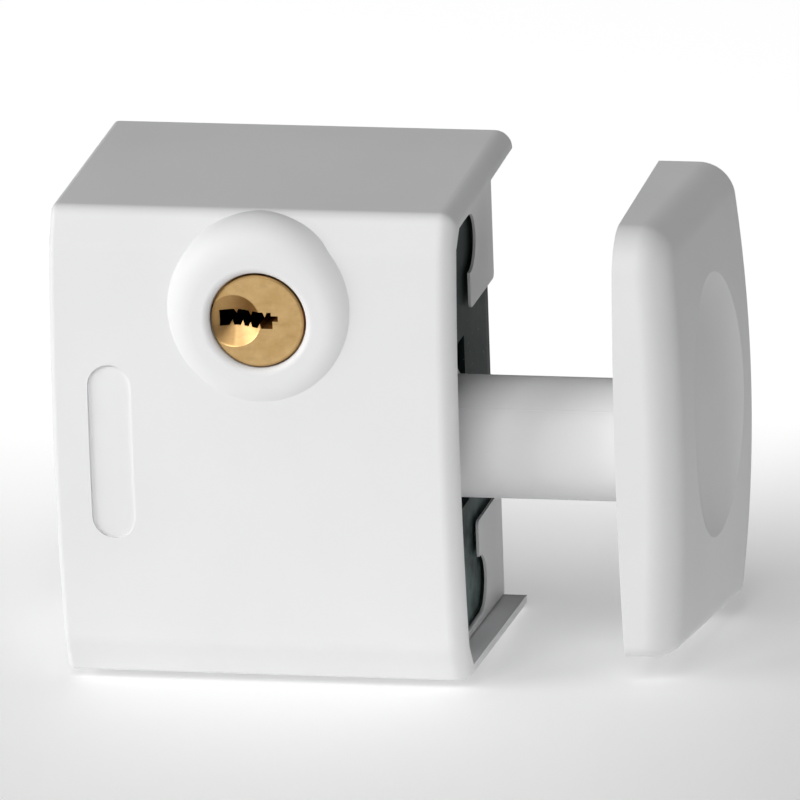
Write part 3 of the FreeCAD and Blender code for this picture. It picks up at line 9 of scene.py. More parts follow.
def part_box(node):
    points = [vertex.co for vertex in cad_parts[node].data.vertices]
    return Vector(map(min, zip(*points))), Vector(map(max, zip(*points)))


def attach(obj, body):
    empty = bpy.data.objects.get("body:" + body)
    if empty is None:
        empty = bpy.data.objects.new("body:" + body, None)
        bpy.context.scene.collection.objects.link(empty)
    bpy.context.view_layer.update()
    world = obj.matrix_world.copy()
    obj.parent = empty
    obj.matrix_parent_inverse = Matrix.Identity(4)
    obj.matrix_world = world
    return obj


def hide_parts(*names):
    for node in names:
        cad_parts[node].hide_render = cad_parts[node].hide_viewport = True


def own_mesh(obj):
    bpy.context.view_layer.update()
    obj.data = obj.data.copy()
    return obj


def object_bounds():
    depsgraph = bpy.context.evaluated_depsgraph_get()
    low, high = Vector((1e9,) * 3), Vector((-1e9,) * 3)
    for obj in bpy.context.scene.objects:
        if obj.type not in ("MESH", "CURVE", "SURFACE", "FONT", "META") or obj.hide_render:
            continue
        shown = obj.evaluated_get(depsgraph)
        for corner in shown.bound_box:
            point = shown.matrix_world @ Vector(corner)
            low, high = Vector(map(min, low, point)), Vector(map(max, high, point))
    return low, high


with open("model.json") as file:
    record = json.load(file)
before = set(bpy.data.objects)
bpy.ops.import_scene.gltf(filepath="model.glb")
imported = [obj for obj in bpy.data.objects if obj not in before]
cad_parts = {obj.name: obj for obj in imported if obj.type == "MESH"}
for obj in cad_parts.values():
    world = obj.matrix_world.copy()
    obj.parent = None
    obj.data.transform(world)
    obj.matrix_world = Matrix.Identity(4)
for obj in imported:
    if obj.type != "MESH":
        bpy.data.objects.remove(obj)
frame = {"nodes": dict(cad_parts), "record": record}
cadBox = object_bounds()
nodes = frame["nodes"]
mm = 0.001
print("frame loaded:", len(nodes), "nodes")


# A wrapped socket: an expression on it adds Math nodes to its tree
class Wire:
    def __init__(self, net, socket):
        self.net = net
        self.socket = socket

    def math(self, operation, *others):
        return self.net.node("ShaderNodeMath", {"operation": operation}, dict(enumerate((self, *others))))

    def __add__(self, other):
        return self.math("ADD", other)

    def __sub__(self, other):
        return self.math("SUBTRACT", other)

    def __rsub__(self, other):
        return self.net.node("ShaderNodeMath", {"operation": "SUBTRACT"}, {0: other, 1: self})

    def __mul__(self, other):
        return self.math("MULTIPLY", other)

    def __truediv__(self, other):
        return self.math("DIVIDE", other)

    def __pow__(self, other):
        return self.math("POWER", other)

    __radd__ = __add__
    __rmul__ = __mul__

    def clipped(self, low, high):  # 0 below low, 1 above high
        return self.net.node("ShaderNodeMapRange", {"clamp": True},
                             {"Value": self, "From Min": low, "From Max": high})


# A node tree, with one method that makes every node: its settings first, then its sockets
class Net:
    def __init__(self, tree):
        self.tree = tree

    def node(self, kind, settings, sockets, output=0):
        made = self.tree.nodes.new(kind)
        for name, value in settings.items():
            setattr(made, name, value)
        for name, value in sockets.items():
            if isinstance(value, Wire):
                self.tree.links.new(value.socket, made.inputs[name])
            else:
                made.inputs[name].default_value = value
        return Wire(self, made.outputs[output] if made.outputs else None)


class Finish(Net):
    def __init__(self, name):
        self.material = bpy.data.materials.new(name)
        self.material.use_nodes = True
        super().__init__(self.material.node_tree)
        self.tree.nodes.clear()
        self.place = self.node("ShaderNodeTexCoord", {}, {}, "Object")

    # The place, centred and stretched for a pattern
    def mapped(self, centre=(0, 0, 0), scale=(1, 1, 1)):
        moved = self.node("ShaderNodeVectorMath", {"operation": "SUBTRACT"}, {0: self.place, 1: centre})
        return self.node("ShaderNodeVectorMath", {"operation": "MULTIPLY"}, {0: moved, 1: scale})

    def noise(self, size, detail=3.0, roughness=0.5, where=None):
        sockets = {"Vector": where or self.place, "Scale": 1 / size, "Detail": detail, "Roughness": roughness}
        return self.node("ShaderNodeTexNoise", {}, sockets)

    def blend(self, factor, first, second):
        return self.node("ShaderNodeMix", {"data_type": "RGBA"}, {0: factor, 6: first, 7: second}, 2)

    def bump(self, height, depth, after=None):
        sockets = {"Height": height, "Distance": depth, "Strength": 1.0}
        if after is not None:
            sockets["Normal"] = after
        return self.node("ShaderNodeBump", {}, sockets)

    # Parts of a vector, by their letters
    def parts(self, vector, letters):
        return [self.node("ShaderNodeSeparateXYZ", {}, {0: vector}, letter) for letter in letters]

    # Distance from an axis along Y through a point
    def fromAxis(self, centre):
        across, up = self.parts(self.mapped(centre), "XZ")
        return (across ** 2 + up ** 2) ** 0.5

    def shade(self, **sockets):
        named = {name.replace("_", " "): value for name, value in sockets.items()}
        shader = self.node("ShaderNodeBsdfPrincipled", {}, named)
        self.node("ShaderNodeOutputMaterial", {}, {"Surface": shader})
        return self.material


def rgb(red, green, blue):
    return (red, green, blue, 1)


# Centre of a node's box
def middle(node):
    low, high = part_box(node)
    return (Vector(low) + Vector(high)) / 2


plugAxis = middle("plug")
boltAxis = middle("bolt")

whiteMoulding = {
    "colour": rgb(0.84, 0.84, 0.845),
    "shade": rgb(0.805, 0.805, 0.81),
    "cloud": 30 * mm,
    "scuff": 6 * mm,
    "grain": 0.28 * mm,
    "grainDepth": 0.0035 * mm,
    "roughness": 0.42,
    "gloss": 0.2,
}


# White moulding: a fine grain, a faint cloud in its colour and scuffs in its gloss
def makeWhitePlastic():
    finish = Finish("whitePlastic")
    cloud = finish.noise(whiteMoulding["cloud"], 2).clipped(0.35, 0.65)
    grain = finish.noise(whiteMoulding["grain"], 2, 0.6)
    upright = finish.mapped(scale=(1, 1, 0.3))
    scuffs = finish.noise(whiteMoulding["scuff"], 4, 0.6, upright).clipped(0.42, 0.75)
    colour = finish.blend(cloud * 0.8, whiteMoulding["colour"], whiteMoulding["shade"])
    rough = whiteMoulding["roughness"] + scuffs * 0.07 + grain * 0.04
    return finish.shade(Base_Color=colour, Roughness=rough, IOR=1.5,
                        Specular_IOR_Level=whiteMoulding["gloss"],
                        Normal=finish.bump(grain, whiteMoulding["grainDepth"]))


darkCasting = {
    "colour": rgb(0.016, 0.025, 0.024),
    "pale": rgb(0.026, 0.043, 0.040),
    # Painted light: paler colour for the casting's lower end
    "paintedLight": rgb(0.235, 0.325, 0.305),
    "speck": rgb(0.15, 0.19, 0.18),
    "skin": 1.1 * mm,
    "skinDepth": 0.02 * mm,
    "paintedLightFrom": (-24 * mm, -8 * mm),
    "roughness": 0.52,
    "gloss": 0.22,
}


# Dark lacquer on the casting, with painted light making it paler towards its lower end
def makeDarkZinc():
    finish = Finish("darkZinc")
    patches = finish.noise(9 * mm, 4, 0.6).clipped(0.3, 0.7)
    skin = finish.noise(darkCasting["skin"], 4, 0.6)
    specks = finish.noise(0.7 * mm, 1).clipped(0.72, 0.76)
    colour = finish.blend(patches, darkCasting["colour"], darkCasting["pale"])
    # Painted light: paler patches towards the lower end of the casting
    low = 1 - finish.parts(finish.place, "Z")[0].clipped(*darkCasting["paintedLightFrom"])
    colour = finish.blend(low * patches, colour, darkCasting["paintedLight"])
    colour = finish.blend(specks * 0.7, colour, darkCasting["speck"])
    rough = darkCasting["roughness"] + patches * 0.12 + skin * 0.1
    return finish.shade(Base_Color=colour, Roughness=rough, IOR=1.45, Specular_IOR_Level=darkCasting["gloss"],
                        Normal=finish.bump(skin, darkCasting["skinDepth"]))


zincCoat = {
    "colour": rgb(0.60, 0.61, 0.60),
    "warm": rgb(0.58, 0.56, 0.47),
    # Colour of the back plate's outer edges
    "darkEdge": rgb(0.022, 0.030, 0.029),
    "spangle": 4 * mm,
    "brushing": 1.2 * mm,
    "brushDepth": 0.006 * mm,
    "edge": (0.975, 0.982),
    "roughness": 0.34,
}


# Zinc plating, darker, rougher and not metallic at the back plate's outer edges
def makeZincPlate():
    finish = Finish("zincPlate")
    low, high = [Vector(corner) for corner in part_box("back_plate")]
    half = (high - low) / 2
    away = finish.mapped(middle("back_plate"), (1 / half.x, 0, 1 / half.z))
    across, up = [part.math("ABSOLUTE") for part in finish.parts(away, "XZ")]
    edge = across.math("MAXIMUM", up).clipped(*zincCoat["edge"])
    spangle = finish.noise(zincCoat["spangle"], 3, 0.6)
    brushed = finish.noise(zincCoat["brushing"], 4, 0.6, finish.mapped(scale=(1, 1, 14)))
    colour = finish.blend(spangle.clipped(0.35, 0.75) * 0.6, zincCoat["colour"], zincCoat["warm"])
    colour = finish.blend(edge, colour, zincCoat["darkEdge"])
    rough = zincCoat["roughness"] + spangle * 0.12 + brushed * 0.1 + edge * 0.2
    return finish.shade(Base_Color=colour, Metallic=1 - edge, Roughness=rough,
                        Normal=finish.bump(brushed, zincCoat["brushDepth"]))


turnedSteel = {
    "colour": rgb(0.60, 0.60, 0.61),
    "dull": rgb(0.46, 0.46, 0.47),
    "ridge": 0.18 * mm,
    "ridgeDepth": 0.005 * mm,
    "film": 8 * mm,
    "roughness": 0.24,
}


# Fine rings round the bolt, with a dull film here and there
def makeSteel():
    finish = Finish("turnedSteel")
    rings = finish.noise(turnedSteel["ridge"], 2, 0.5, finish.mapped(scale=(1, 0.02, 0.02)))
    film = finish.noise(turnedSteel["film"], 4, 0.6).clipped(0.4, 0.8)
    colour = finish.blend(film * 0.7, turnedSteel["colour"], turnedSteel["dull"])
    rough = turnedSteel["roughness"] + rings * 0.12 + film * 0.12
    return finish.shade(Base_Color=colour, Metallic=1.0, Roughness=rough,
                        Normal=finish.bump(rings, turnedSteel["ridgeDepth"]))


springWire = {
    "colour": rgb(0.42, 0.42, 0.43),
    "film": rgb(0.31, 0.30, 0.29),
    "draw": 0.6 * mm,
    "drawDepth": 0.004 * mm,
    "roughness": 0.26,
}


def makeSpringSteel():
    finish = Finish("springSteel")
    drawn = finish.noise(springWire["draw"], 3, 0.6, finish.mapped(scale=(0.3, 1, 1)))
    film = finish.noise(4 * mm, 3).clipped(0.35, 0.7)
    colour = finish.blend(film, springWire["colour"], springWire["film"])
    return finish.shade(Base_Color=colour, Metallic=1.0, Roughness=springWire["roughness"] + drawn * 0.14,
                        Normal=finish.bump(drawn, springWire["drawDepth"]))


brassTurning = {
    "colour": rgb(0.67, 0.43, 0.18),
    "pale": rgb(0.77, 0.53, 0.25),
    "tarnishAndShade": rgb(0.24, 0.12, 0.035),
    # Painted keyway shade: near black, and paler brown for its right end
    "keywayShade": rgb(0.010, 0.007, 0.006),
    "keywayShadePale": rgb(0.55, 0.27, 0.08),
    "ring": 0.13 * mm,
    "ringDepth": 0.0025 * mm,
    "blotch": 2.1 * mm,
    "blotchDepth": 0.008 * mm,
    "roughness": 0.30,
    "rim": (6.35 * mm, 6.75 * mm),
    "coneShift": 3.4 * mm,
    "coneRadius": 3.9 * mm,
    "coneDepth": 2.4 * mm,
    "keyHalf": 1.9 * mm,
}


# Brass turned about the cylinder's axis: blotched and browner at its rim, with painted shade
# in the key guide cone, and painted black shade inside the keyway but for its paler right end
def makeBrass():
    finish = Finish("turnedBrass")
    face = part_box("plug")[0][1]
    radius = finish.fromAxis(plugAxis)
    ringPlace = finish.node("ShaderNodeCombineXYZ", {}, {0: radius})
    rings = finish.noise(brassTurning["ring"], 2, 0.5, ringPlace)
    blotches = finish.noise(brassTurning["blotch"], 4, 0.62).clipped(0.36, 0.68)
    smear = finish.noise(0.9 * mm, 3, 0.6, finish.mapped(scale=(0.45, 1, 1))).clipped(0.5, 0.8)
    colour = finish.blend(blotches, brassTurning["colour"], brassTurning["pale"])
    colour = finish.blend(smear * 0.22, colour, brassTurning["tarnishAndShade"])
    colour = finish.blend(radius.clipped(*brassTurning["rim"]) * 0.6, colour, brassTurning["tarnishAndShade"])

    coneMiddle = plugAxis - Vector((brassTurning["coneShift"], 0, 0))
    across, inward, up = finish.parts(finish.mapped(coneMiddle), "XYZ")
    depth = inward + (coneMiddle.y - face)
    fromCone = finish.fromAxis(coneMiddle) / brassTurning["coneRadius"]
    coneSkin = (1 - fromCone).math("MAXIMUM", 0.0) * brassTurning["coneDepth"]
    deeper = (depth - coneSkin).clipped(0.12 * mm, 0.3 * mm)
    inCone = depth.clipped(0.02 * mm, 0.14 * mm) * (1 - fromCone.clipped(1.0, 1.01)) * (1 - deeper)
    # Painted shade and reflection: the guide cone darker in its upper half, most to the right, and at its
    # lower left
    upper = up.clipped(-0.4 * mm, 0.4 * mm)
    shaded = upper * (0.45 + across.clipped(-0.5 * mm, 2.0 * mm) * 0.5)
    shaded = shaded + (1 - upper) * (1 - across.clipped(-0.35 * mm, 0.15 * mm)) * 0.5
    colour = finish.blend(inCone * shaded, colour, brassTurning["tarnishAndShade"])
    # Painted shade inside the keyway: near black, turning paler brown towards its right end
    keyHalf = brassTurning["keyHalf"]
    inKeyway = deeper * (1 - up.math("ABSOLUTE").clipped(keyHalf - 0.1 * mm, keyHalf))
    keywayShadeColour = finish.blend(across.clipped(3.4 * mm, 4.4 * mm), brassTurning["keywayShade"], brassTurning["keywayShadePale"])
    colour = finish.blend(inKeyway, colour, keywayShadeColour)
    rough = brassTurning["roughness"] + blotches * 0.1 + rings * 0.08 + inCone * 0.12 + inKeyway * 0.2
    dented = finish.bump(blotches, brassTurning["blotchDepth"])
    return finish.shade(Base_Color=colour, Metallic=1.0, Roughness=rough,
                        Normal=finish.bump(rings, brassTurning["ringDepth"], dented))


bushPlastic = {
    "colour": rgb(0.022, 0.022, 0.023),
    "rubbed": rgb(0.05, 0.05, 0.05),
    "grain": 0.4 * mm,
    "grainDepth": 0.006 * mm,
    "rub": 2.5 * mm,
    "roughness": 0.42,
}


# Black plastic, smoother and paler where the bolt has rubbed along it
def makeBearingPlastic():
    finish = Finish("bearingPlastic")
    grain = finish.noise(bushPlastic["grain"], 3)
    rub = finish.noise(bushPlastic["rub"], 4, 0.6, finish.mapped(scale=(0.2, 1, 1))).clipped(0.45, 0.75)
    colour = finish.blend(rub * 0.6, bushPlastic["colour"], bushPlastic["rubbed"])
    return finish.shade(Base_Color=colour, Roughness=bushPlastic["roughness"] - rub * 0.12,
                        Normal=finish.bump(grain, bushPlastic["grainDepth"]))


bufferRubber = {
    "colour": rgb(0.018, 0.018, 0.018),
    "dust": rgb(0.07, 0.068, 0.065),
    "grain": 0.6 * mm,
    "grainDepth": 0.02 * mm,
    "roughness": 0.72,
}


def makeRubber():
    finish = Finish("blackRubber")
    grain = finish.noise(bufferRubber["grain"], 4, 0.6)
    dust = finish.noise(5 * mm, 4, 0.6).clipped(0.45, 0.8)
    colour = finish.blend(dust * 0.5, bufferRubber["colour"], bufferRubber["dust"])
    return finish.shade(Base_Color=colour, Roughness=bufferRubber["roughness"] + dust * 0.12,
                        Normal=finish.bump(grain, bufferRubber["grainDepth"]))


materials = {
    "white_plastic": makeWhitePlastic(),
    "dark_zinc": makeDarkZinc(),
    "zinc_plate": makeZincPlate(),
    "steel": makeSteel(),
    "spring_steel": makeSpringSteel(),
    "brass": makeBrass(),
    "bearing_plastic": makeBearingPlastic(),
    "rubber": makeRubber(),
}
slotOf = {row["node"]: row["material_slot"] for row in frame["record"]["subparts"]}
for name, piece in nodes.items():
    for holder in piece.material_slots:
        holder.link = "OBJECT"
        holder.material = materials[slotOf[name]]
print("materials set:", len(materials))


# A Geometry Nodes tree with named inputs; build gets them as wires and gives the geometry
def makeTree(name, inputs, build):
    tree = bpy.data.node_groups.new(name, "GeometryNodeTree")
    tree.is_modifier = True
    for label, kind in inputs.items():
        tree.interface.new_socket(name=label, in_out="INPUT", socket_type="NodeSocket" + kind)
    tree.interface.new_socket(name="Geometry", in_out="OUTPUT", socket_type="NodeSocketGeometry")
    net = Net(tree)
    entry = tree.nodes.new("NodeGroupInput")
    given = {label: Wire(net, entry.outputs[label]) for label in inputs}
    shape = build(net, given)
    shape = net.node("GeometryNodeRealizeInstances", {}, {"Geometry": shape})
    shape = net.node("GeometryNodeSetMaterial", {}, {"Geometry": shape, "Material": given["Finish"]})
    leaving = tree.nodes.new("NodeGroupOutput")
    tree.links.new(shape.socket, leaving.inputs["Geometry"])
    return tree


# Runs a tree with values for its inputs and keeps the result as a plain mesh object
def grow(name, tree, values):
    carrier = bpy.data.objects.new(name + "Tree", bpy.data.meshes.new(name + "Tree"))
    bpy.context.scene.collection.objects.link(carrier)
    modifier = carrier.modifiers.new("tree", "NODES")
    modifier.node_group = tree
    for item in tree.interface.items_tree:
        if item.in_out == "INPUT":
            modifier[item.identifier] = values[item.name]
    carrier.update_tag()
    depsgraph = bpy.context.evaluated_depsgraph_get()
    depsgraph.update()
    mesh = bpy.data.meshes.new_from_object(carrier.evaluated_get(depsgraph), depsgraph=depsgraph)
    bpy.data.objects.remove(carrier)
    mesh.name = name
    piece = bpy.data.objects.new(name, mesh)
    bpy.context.scene.collection.objects.link(piece)
    return piece


# A round wire along a path, smooth and closed at its ends
def sweep(net, path, radius, sides):
    section = net.node("GeometryNodeCurvePrimitiveCircle", {"mode": "RADIUS"},
                       {"Resolution": sides, "Radius": radius})
    wire = net.node("GeometryNodeCurveToMesh", {},
                    {"Curve": path, "Profile Curve": section, "Fill Caps": True})
    return net.node("GeometryNodeSetShadeSmooth", {}, {"Geometry": wire})


# A coil along +X from its start, with one closed turn at each end
def buildCoil(net, given):
    turns = given["Turns"]
    wire = given["Wire"]
    line = net.node("GeometryNodeCurvePrimitiveLine", {}, {"End": (1, 0, 0)})
    points = net.node("GeometryNodeResampleCurve", {}, {"Curve": line, "Count": turns * given["Steps"]})
    turned = net.node("GeometryNodeSplineParameter", {}, {}) * turns
    angle = turned * (2 * math.pi)
    closedTurns = turned.math("MINIMUM", 1.0) + (turned - (turns - 1)).math("MAXIMUM", 0.0)
    opened = ((turned - 1) / (turns - 2)).math("MAXIMUM", 0.0).math("MINIMUM", 1.0)
    along = wire * (0.5 + closedTurns) + (given["Length"] - wire * 3) * opened
    spot = net.node("ShaderNodeCombineXYZ", {}, {
        0: along, 1: angle.math("COSINE") * given["Radius"], 2: angle.math("SINE") * given["Radius"]})
    spot = net.node("ShaderNodeVectorMath", {"operation": "ADD"}, {0: spot, 1: given["Start"]})
    path = net.node("GeometryNodeSetPosition", {}, {"Geometry": points, "Position": spot})
    return sweep(net, path, wire / 2, 12)


coilTree = makeTree("coil", {"Turns": "Float", "Steps": "Float", "Radius": "Float", "Wire": "Float",
                             "Length": "Float", "Start": "Vector", "Finish": "Material"}, buildCoil)


returnCoil = {"turns": 9.0, "steps": 36.0, "wire": 1.1 * mm}


# Coils over the guide rod, in place of the plain sleeve
def makeReturnCoil():
    low, high = [Vector(corner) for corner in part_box("return_spring")]
    axis = (low + high) / 2
    length = high.x - low.x
    piece = grow("returnCoil", coilTree, {
        "Turns": returnCoil["turns"], "Steps": returnCoil["steps"], "Wire": returnCoil["wire"],
        "Radius": (high.z - low.z - returnCoil["wire"]) / 2, "Length": length,
        "Start": (low.x, axis.y, axis.z), "Finish": materials["spring_steel"]})
    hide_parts("return_spring")
    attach(piece, "case")
    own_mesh(piece)


makeReturnCoil()

pinCoil = {"turns": 8.0, "steps": 16.0, "wire": 0.24 * mm, "count": 4}


# One small coil behind each driver pin
def makePinCoils():
    low, high = [Vector(corner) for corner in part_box("pin_springs")]
    width = high.z - low.z
    pitch = (high.y - low.y - width) / (pinCoil["count"] - 1)
    pieces = []
    for number in range(pinCoil["count"]):
        pieces.append(grow("pinCoil%d" % (number + 1), coilTree, {
            "Turns": pinCoil["turns"], "Steps": pinCoil["steps"], "Wire": pinCoil["wire"],
            "Radius": (width - pinCoil["wire"]) / 2, "Length": high.x - low.x,
            "Start": (low.x, low.y + width / 2 + pitch * number, (low.z + high.z) / 2),
            "Finish": materials["spring_steel"]}))
    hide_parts("pin_springs")
    for piece in pieces:
        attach(piece, "case")


makePinCoils()


# A copy of a node's mesh with its corners merged, for cutting and reshaping
def mergedCopy(name):
    mesh = nodes[name].data.copy()
    mesh.transform(nodes[name].matrix_world)
    copy = bmesh.new()
    copy.from_mesh(mesh)
    bmesh.ops.remove_doubles(copy, verts=copy.verts, dist=0.001 * mm)
    return copy, mesh


def linkPiece(name, mesh, slot):
    mesh.materials.clear()
    mesh.materials.append(materials[slot])
    piece = bpy.data.objects.new(name, mesh)
    bpy.context.scene.collection.objects.link(piece)
    return piece


# The bow spring over the latch
def makeLatchBow():
    strip, mesh = mergedCopy("latch_spring")
    strip.to_mesh(mesh)
    strip.free()
    piece = linkPiece("latchBow", mesh, "spring_steel")
    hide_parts("latch_spring")
    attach(piece, "case")
    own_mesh(piece)


makeLatchBow()
print("springs wound")

sidePlate = {"thick": 0.4 * mm}


# The side plate, thinner than its solid: its back is cut away and closed again
def makeSidePlate():
    plate, mesh = mergedCopy("side_bezel")
    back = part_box("side_bezel")[1][0] - sidePlate["thick"]
    cut = bmesh.ops.bisect_plane(plate, geom=plate.verts[:] + plate.edges[:] + plate.faces[:],
                                 plane_co=(back, 0, 0), plane_no=(1, 0, 0), clear_inner=True)
    rim = [part for part in cut["geom_cut"] if isinstance(part, bmesh.types.BMEdge)]
    bmesh.ops.triangle_fill(plate, edges=rim, use_beauty=True, normal=(-1, 0, 0))
    plate.to_mesh(mesh)
    plate.free()
    piece = linkPiece("sidePlate", mesh, "white_plastic")
    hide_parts("side_bezel")
    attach(piece, "case")


makeSidePlate()
print("side plate cut")

# The crease in degrees at which the dish ends, the power of its bowl (2 is a plain
# hollow, more gives a flat floor), and the rings from its rim to its middle
fingerDish = {
    "middle": (-16.8 * mm, 0.64 * mm),
    "crease": 7.0,
    "depth": 2.05 * mm,
    "bowl": 4.5,
    "rings": (0.985, 0.965, 0.94, 0.91, 0.875, 0.835, 0.79, 0.74, 0.68, 0.61, 0.53, 0.44, 0.34, 0.23, 0.11),
    "smooth": 20.0,
}


# The faces of the dish: those that the one in its middle reaches over soft edges
def dishFaces(plate):
    middleY, middleZ = fingerDish["middle"]
    near = []
    for face in plate.faces:
        spot = face.calc_center_median()
        if math.hypot(spot.y - middleY, spot.z - middleZ) < 3 * mm:
            near.append(face)
    first = max(near, key=lambda face: face.calc_center_median().x)
    found = {first}
    waiting = [first]
    while waiting:
        for edge in waiting.pop().edges:
            soft = edge.calc_face_angle(9) < math.radians(fingerDish["crease"])
            for face in edge.link_faces:
                if soft and face not in found:
                    found.add(face)
                    waiting.append(face)
    return found


# Rings of faces from the rim to the middle, under the crowned and leaning outer face
def layDish(plate, rim):
    depth = fingerDish["depth"]
    ys = [vert.co.y for vert in rim]
    zs = [vert.co.z for vert in rim]
    front = rim[ys.index(min(ys))].co
    rear = rim[ys.index(max(ys))].co
    lean = (rear.x - front.x) / (rear.y - front.y)
    centre = Vector(((rear.x + front.x) / 2, (min(ys) + max(ys)) / 2, (min(zs) + max(zs)) / 2))
    outer = sorted(rim, key=lambda vert: math.atan2(vert.co.z - centre.z, vert.co.y - centre.y))
    away = [vert.co - centre for vert in outer]
    pairs = [(number, (number + 1) % len(outer)) for number in range(len(outer))]
    for part in fingerDish["rings"]:
        dip = depth * (1 - part ** fingerDish["bowl"])
        ring = []
        for step in away:
            level = lean * step.y
            out = level * part + (step.x - level) * part ** 2 - dip
            ring.append(plate.verts.new(centre + Vector((out, step.y * part, step.z * part))))
        for here, after in pairs:
            plate.faces.new((outer[here], outer[after], ring[after], ring[here]))
        outer = ring
    floor = plate.verts.new(centre - Vector((depth, 0, 0)))
    for here, after in pairs:
        plate.faces.new((outer[here], outer[after], floor))


# The handle plate, its dish laid anew with a flat floor and steeper sides
def makeGrip():
    plate = mergedCopy("handle_plate")[0]
    found = dishFaces(plate)
    rim = []
    for vert in plate.verts:
        inside = [face in found for face in vert.link_faces]
        if any(inside) and not all(inside):
            rim.append(vert)
    bmesh.ops.delete(plate, geom=list(found), context="FACES")
    layDish(plate, rim)
    plate.verts.index_update()
    spots = [vert.co[:] for vert in plate.verts]
    faces = [[vert.index for vert in face.verts] for face in plate.faces]
    plate.free()
    mesh = bpy.data.meshes.new("grip")
    mesh.from_pydata(spots, [], faces)
    mesh.shade_smooth()
    mesh.set_sharp_from_angle(angle=math.radians(fingerDish["smooth"]))
    piece = linkPiece("grip", mesh, "white_plastic")
    even = piece.modifiers.new("even", "WEIGHTED_NORMAL")
    even.keep_sharp = True
    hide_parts("handle_plate")
    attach(piece, "handle")


makeGrip()
print("grip shaped")


# A low bead along +X: the line left by the two halves of a mould
def buildSeam(net, given):
    line = net.node("GeometryNodeCurvePrimitiveLine", {}, {"Start": given["Start"], "End": given["End"]})
    return sweep(net, line, given["Radius"], 8)


seamTree = makeTree("seam", {"Start": "Vector", "End": "Vector", "Radius": "Float", "Finish": "Material"},
                    buildSeam)

stemSeam = {"angle": 43.0, "bead": 0.09 * mm, "proud": 0.05 * mm, "stem": 8.85 * mm, "inset": 0.2 * mm,
            "sunk": 0.1 * mm}


def makeStemSeams():
    reach = stemSeam["stem"] + stemSeam["proud"] - stemSeam["bead"]
    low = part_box("handle_stem")[0][0] + stemSeam["inset"]
    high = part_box("handle_plate")[0][0] + stemSeam["sunk"]
    for number, angle in enumerate((stemSeam["angle"], stemSeam["angle"] + 180)):
        turn = math.radians(angle)
        y = boltAxis.y - reach * math.cos(turn)
        z = boltAxis.z + reach * math.sin(turn)
        piece = grow("stemSeam%d" % (number + 1), seamTree, {
            "Start": (low, y, z), "End": (high, y, z), "Radius": stemSeam["bead"],
            "Finish": materials["white_plastic"]})
        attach(piece, "handle")


makeStemSeams()
print("seams laid")

# The floor glows a little of itself: more behind the lock than in front, less far out
floorPaint = {
    "colour": rgb(0.80, 0.80, 0.80),
    "cloud": rgb(0.77, 0.77, 0.77),
    "half": 4.0,
    "middle": (-0.05, 0.0, 0.0),
    "near": (0.16, 0.42),
    "fade": 0.06,
    "turn": (-0.03, 0.10),
    "front": 0.27,
    "behind": 0.69,
    "far": 0.06,
}


def makeFloor():
    half = floorPaint["half"]
    level = cadBox[0][2] - 0.02 * mm
    mesh = bpy.data.meshes.new("floor")
    corners = [(-half, -half, level), (half, -half, level), (half, half, level), (-half, half, level)]
    mesh.from_pydata(corners, [], [(0, 1, 2, 3)])
    floor = bpy.data.objects.new("floor", mesh)
    bpy.context.scene.collection.objects.link(floor)
    finish = Finish("paleFloor")
    cloud = finish.noise(0.5, 2)
    colour = finish.blend(cloud * 0.3, floorPaint["colour"], floorPaint["cloud"])
    across, deep = finish.parts(finish.mapped(floorPaint["middle"]), "XY")
    fade = floorPaint["fade"]
    wide, far = floorPaint["near"]
    close = 1 - across.math("ABSOLUTE").clipped(wide - fade, wide + fade)
    close = close * (1 - deep.math("ABSOLUTE").clipped(far - fade, far + fade))
    turned = deep.clipped(*floorPaint["turn"])
    inside = floorPaint["front"] + turned * (floorPaint["behind"] - floorPaint["front"])
    glow = close * inside + (1 - close) * floorPaint["far"]
    mesh.materials.append(finish.shade(Base_Color=colour, Roughness=0.8, Emission_Color=glow,
                                       Emission_Strength=1.0))


makeFloor()

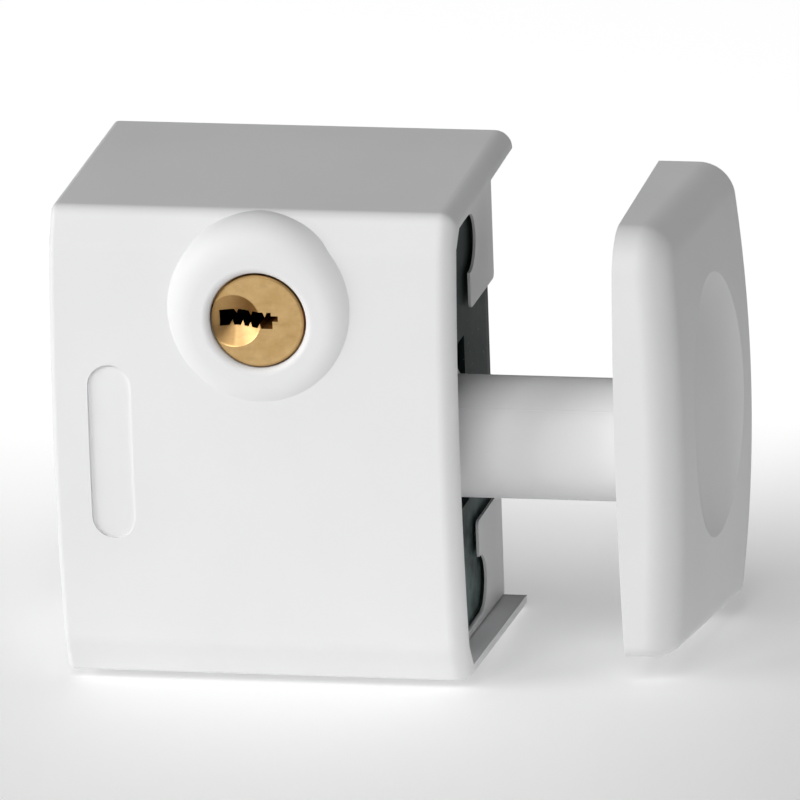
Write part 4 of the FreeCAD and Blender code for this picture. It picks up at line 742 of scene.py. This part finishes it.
# Each lamp is a square panel turned to the lock: degrees up, degrees to the right of
# straight in front, metres away, metres wide, watts
studio = {
    "ambient": 0.01,
    "aim": (0.01, -0.02, 0.0),
    "lamps": [
        {"name": "leftPanel", "up": 20, "round": -62, "away": 2.0, "size": 1.2, "power": 23.6},
        {"name": "highPanel", "up": 42, "round": -5, "away": 2.0, "size": 1.2, "power": 18.4},
        {"name": "frontPanel", "up": 4, "round": -5, "away": 2.0, "size": 1.2, "power": 2.0},
        {"name": "sidePanel", "up": 10, "round": 85, "away": 2.0, "size": 1.2, "power": 7.0},
    ],
}


def makeStudio():
    world = bpy.data.worlds.new("studio")
    world.use_nodes = True
    world.node_tree.nodes["Background"].inputs["Color"].default_value = rgb(1, 1, 1)
    world.node_tree.nodes["Background"].inputs["Strength"].default_value = studio["ambient"]
    bpy.context.scene.world = world
    for lamp in studio["lamps"]:
        up, turn = math.radians(lamp["up"]), math.radians(lamp["round"])
        toLamp = Vector((math.sin(turn) * math.cos(up), -math.cos(turn) * math.cos(up), math.sin(up)))
        data = bpy.data.lights.new(lamp["name"], "AREA")
        data.energy = lamp["power"]
        data.size = lamp["size"]
        holder = bpy.data.objects.new(lamp["name"], data)
        bpy.context.scene.collection.objects.link(holder)
        holder.location = Vector(studio["aim"]) + toLamp * lamp["away"]
        holder.rotation_euler = toLamp.to_track_quat("Z", "Y").to_euler()
    bpy.context.scene.view_settings.view_transform = "Standard"


makeStudio()

cameraView = {
    "azimuth": 12.54,
    "elevation": 16.5,
    "roll": -2.0,
    "distance": 2.3,
    "lens": 721.55,
    "target": (17.41 * mm, -26.0 * mm, 2.8 * mm),
}


def makeCamera():
    azimuth, elevation, roll = [math.radians(cameraView[name]) for name in ("azimuth", "elevation", "roll")]
    back = Vector((math.sin(azimuth) * math.cos(elevation), -math.cos(azimuth) * math.cos(elevation),
                   math.sin(elevation)))
    right = Vector((math.cos(azimuth), math.sin(azimuth), 0))
    up = back.cross(right)
    rolledRight = right * math.cos(roll) + up * math.sin(roll)
    rolledUp = up * math.cos(roll) - right * math.sin(roll)
    data = bpy.data.cameras.new("camera")
    data.lens = cameraView["lens"]
    data.sensor_width = 36
    camera = bpy.data.objects.new("camera", data)
    bpy.context.scene.collection.objects.link(camera)
    stand = Matrix.Translation(Vector(cameraView["target"]) + back * cameraView["distance"])
    camera.matrix_world = stand @ Matrix((rolledRight, rolledUp, back)).transposed().to_4x4()
    bpy.context.scene.camera = camera


makeCamera()
print("studio ready")
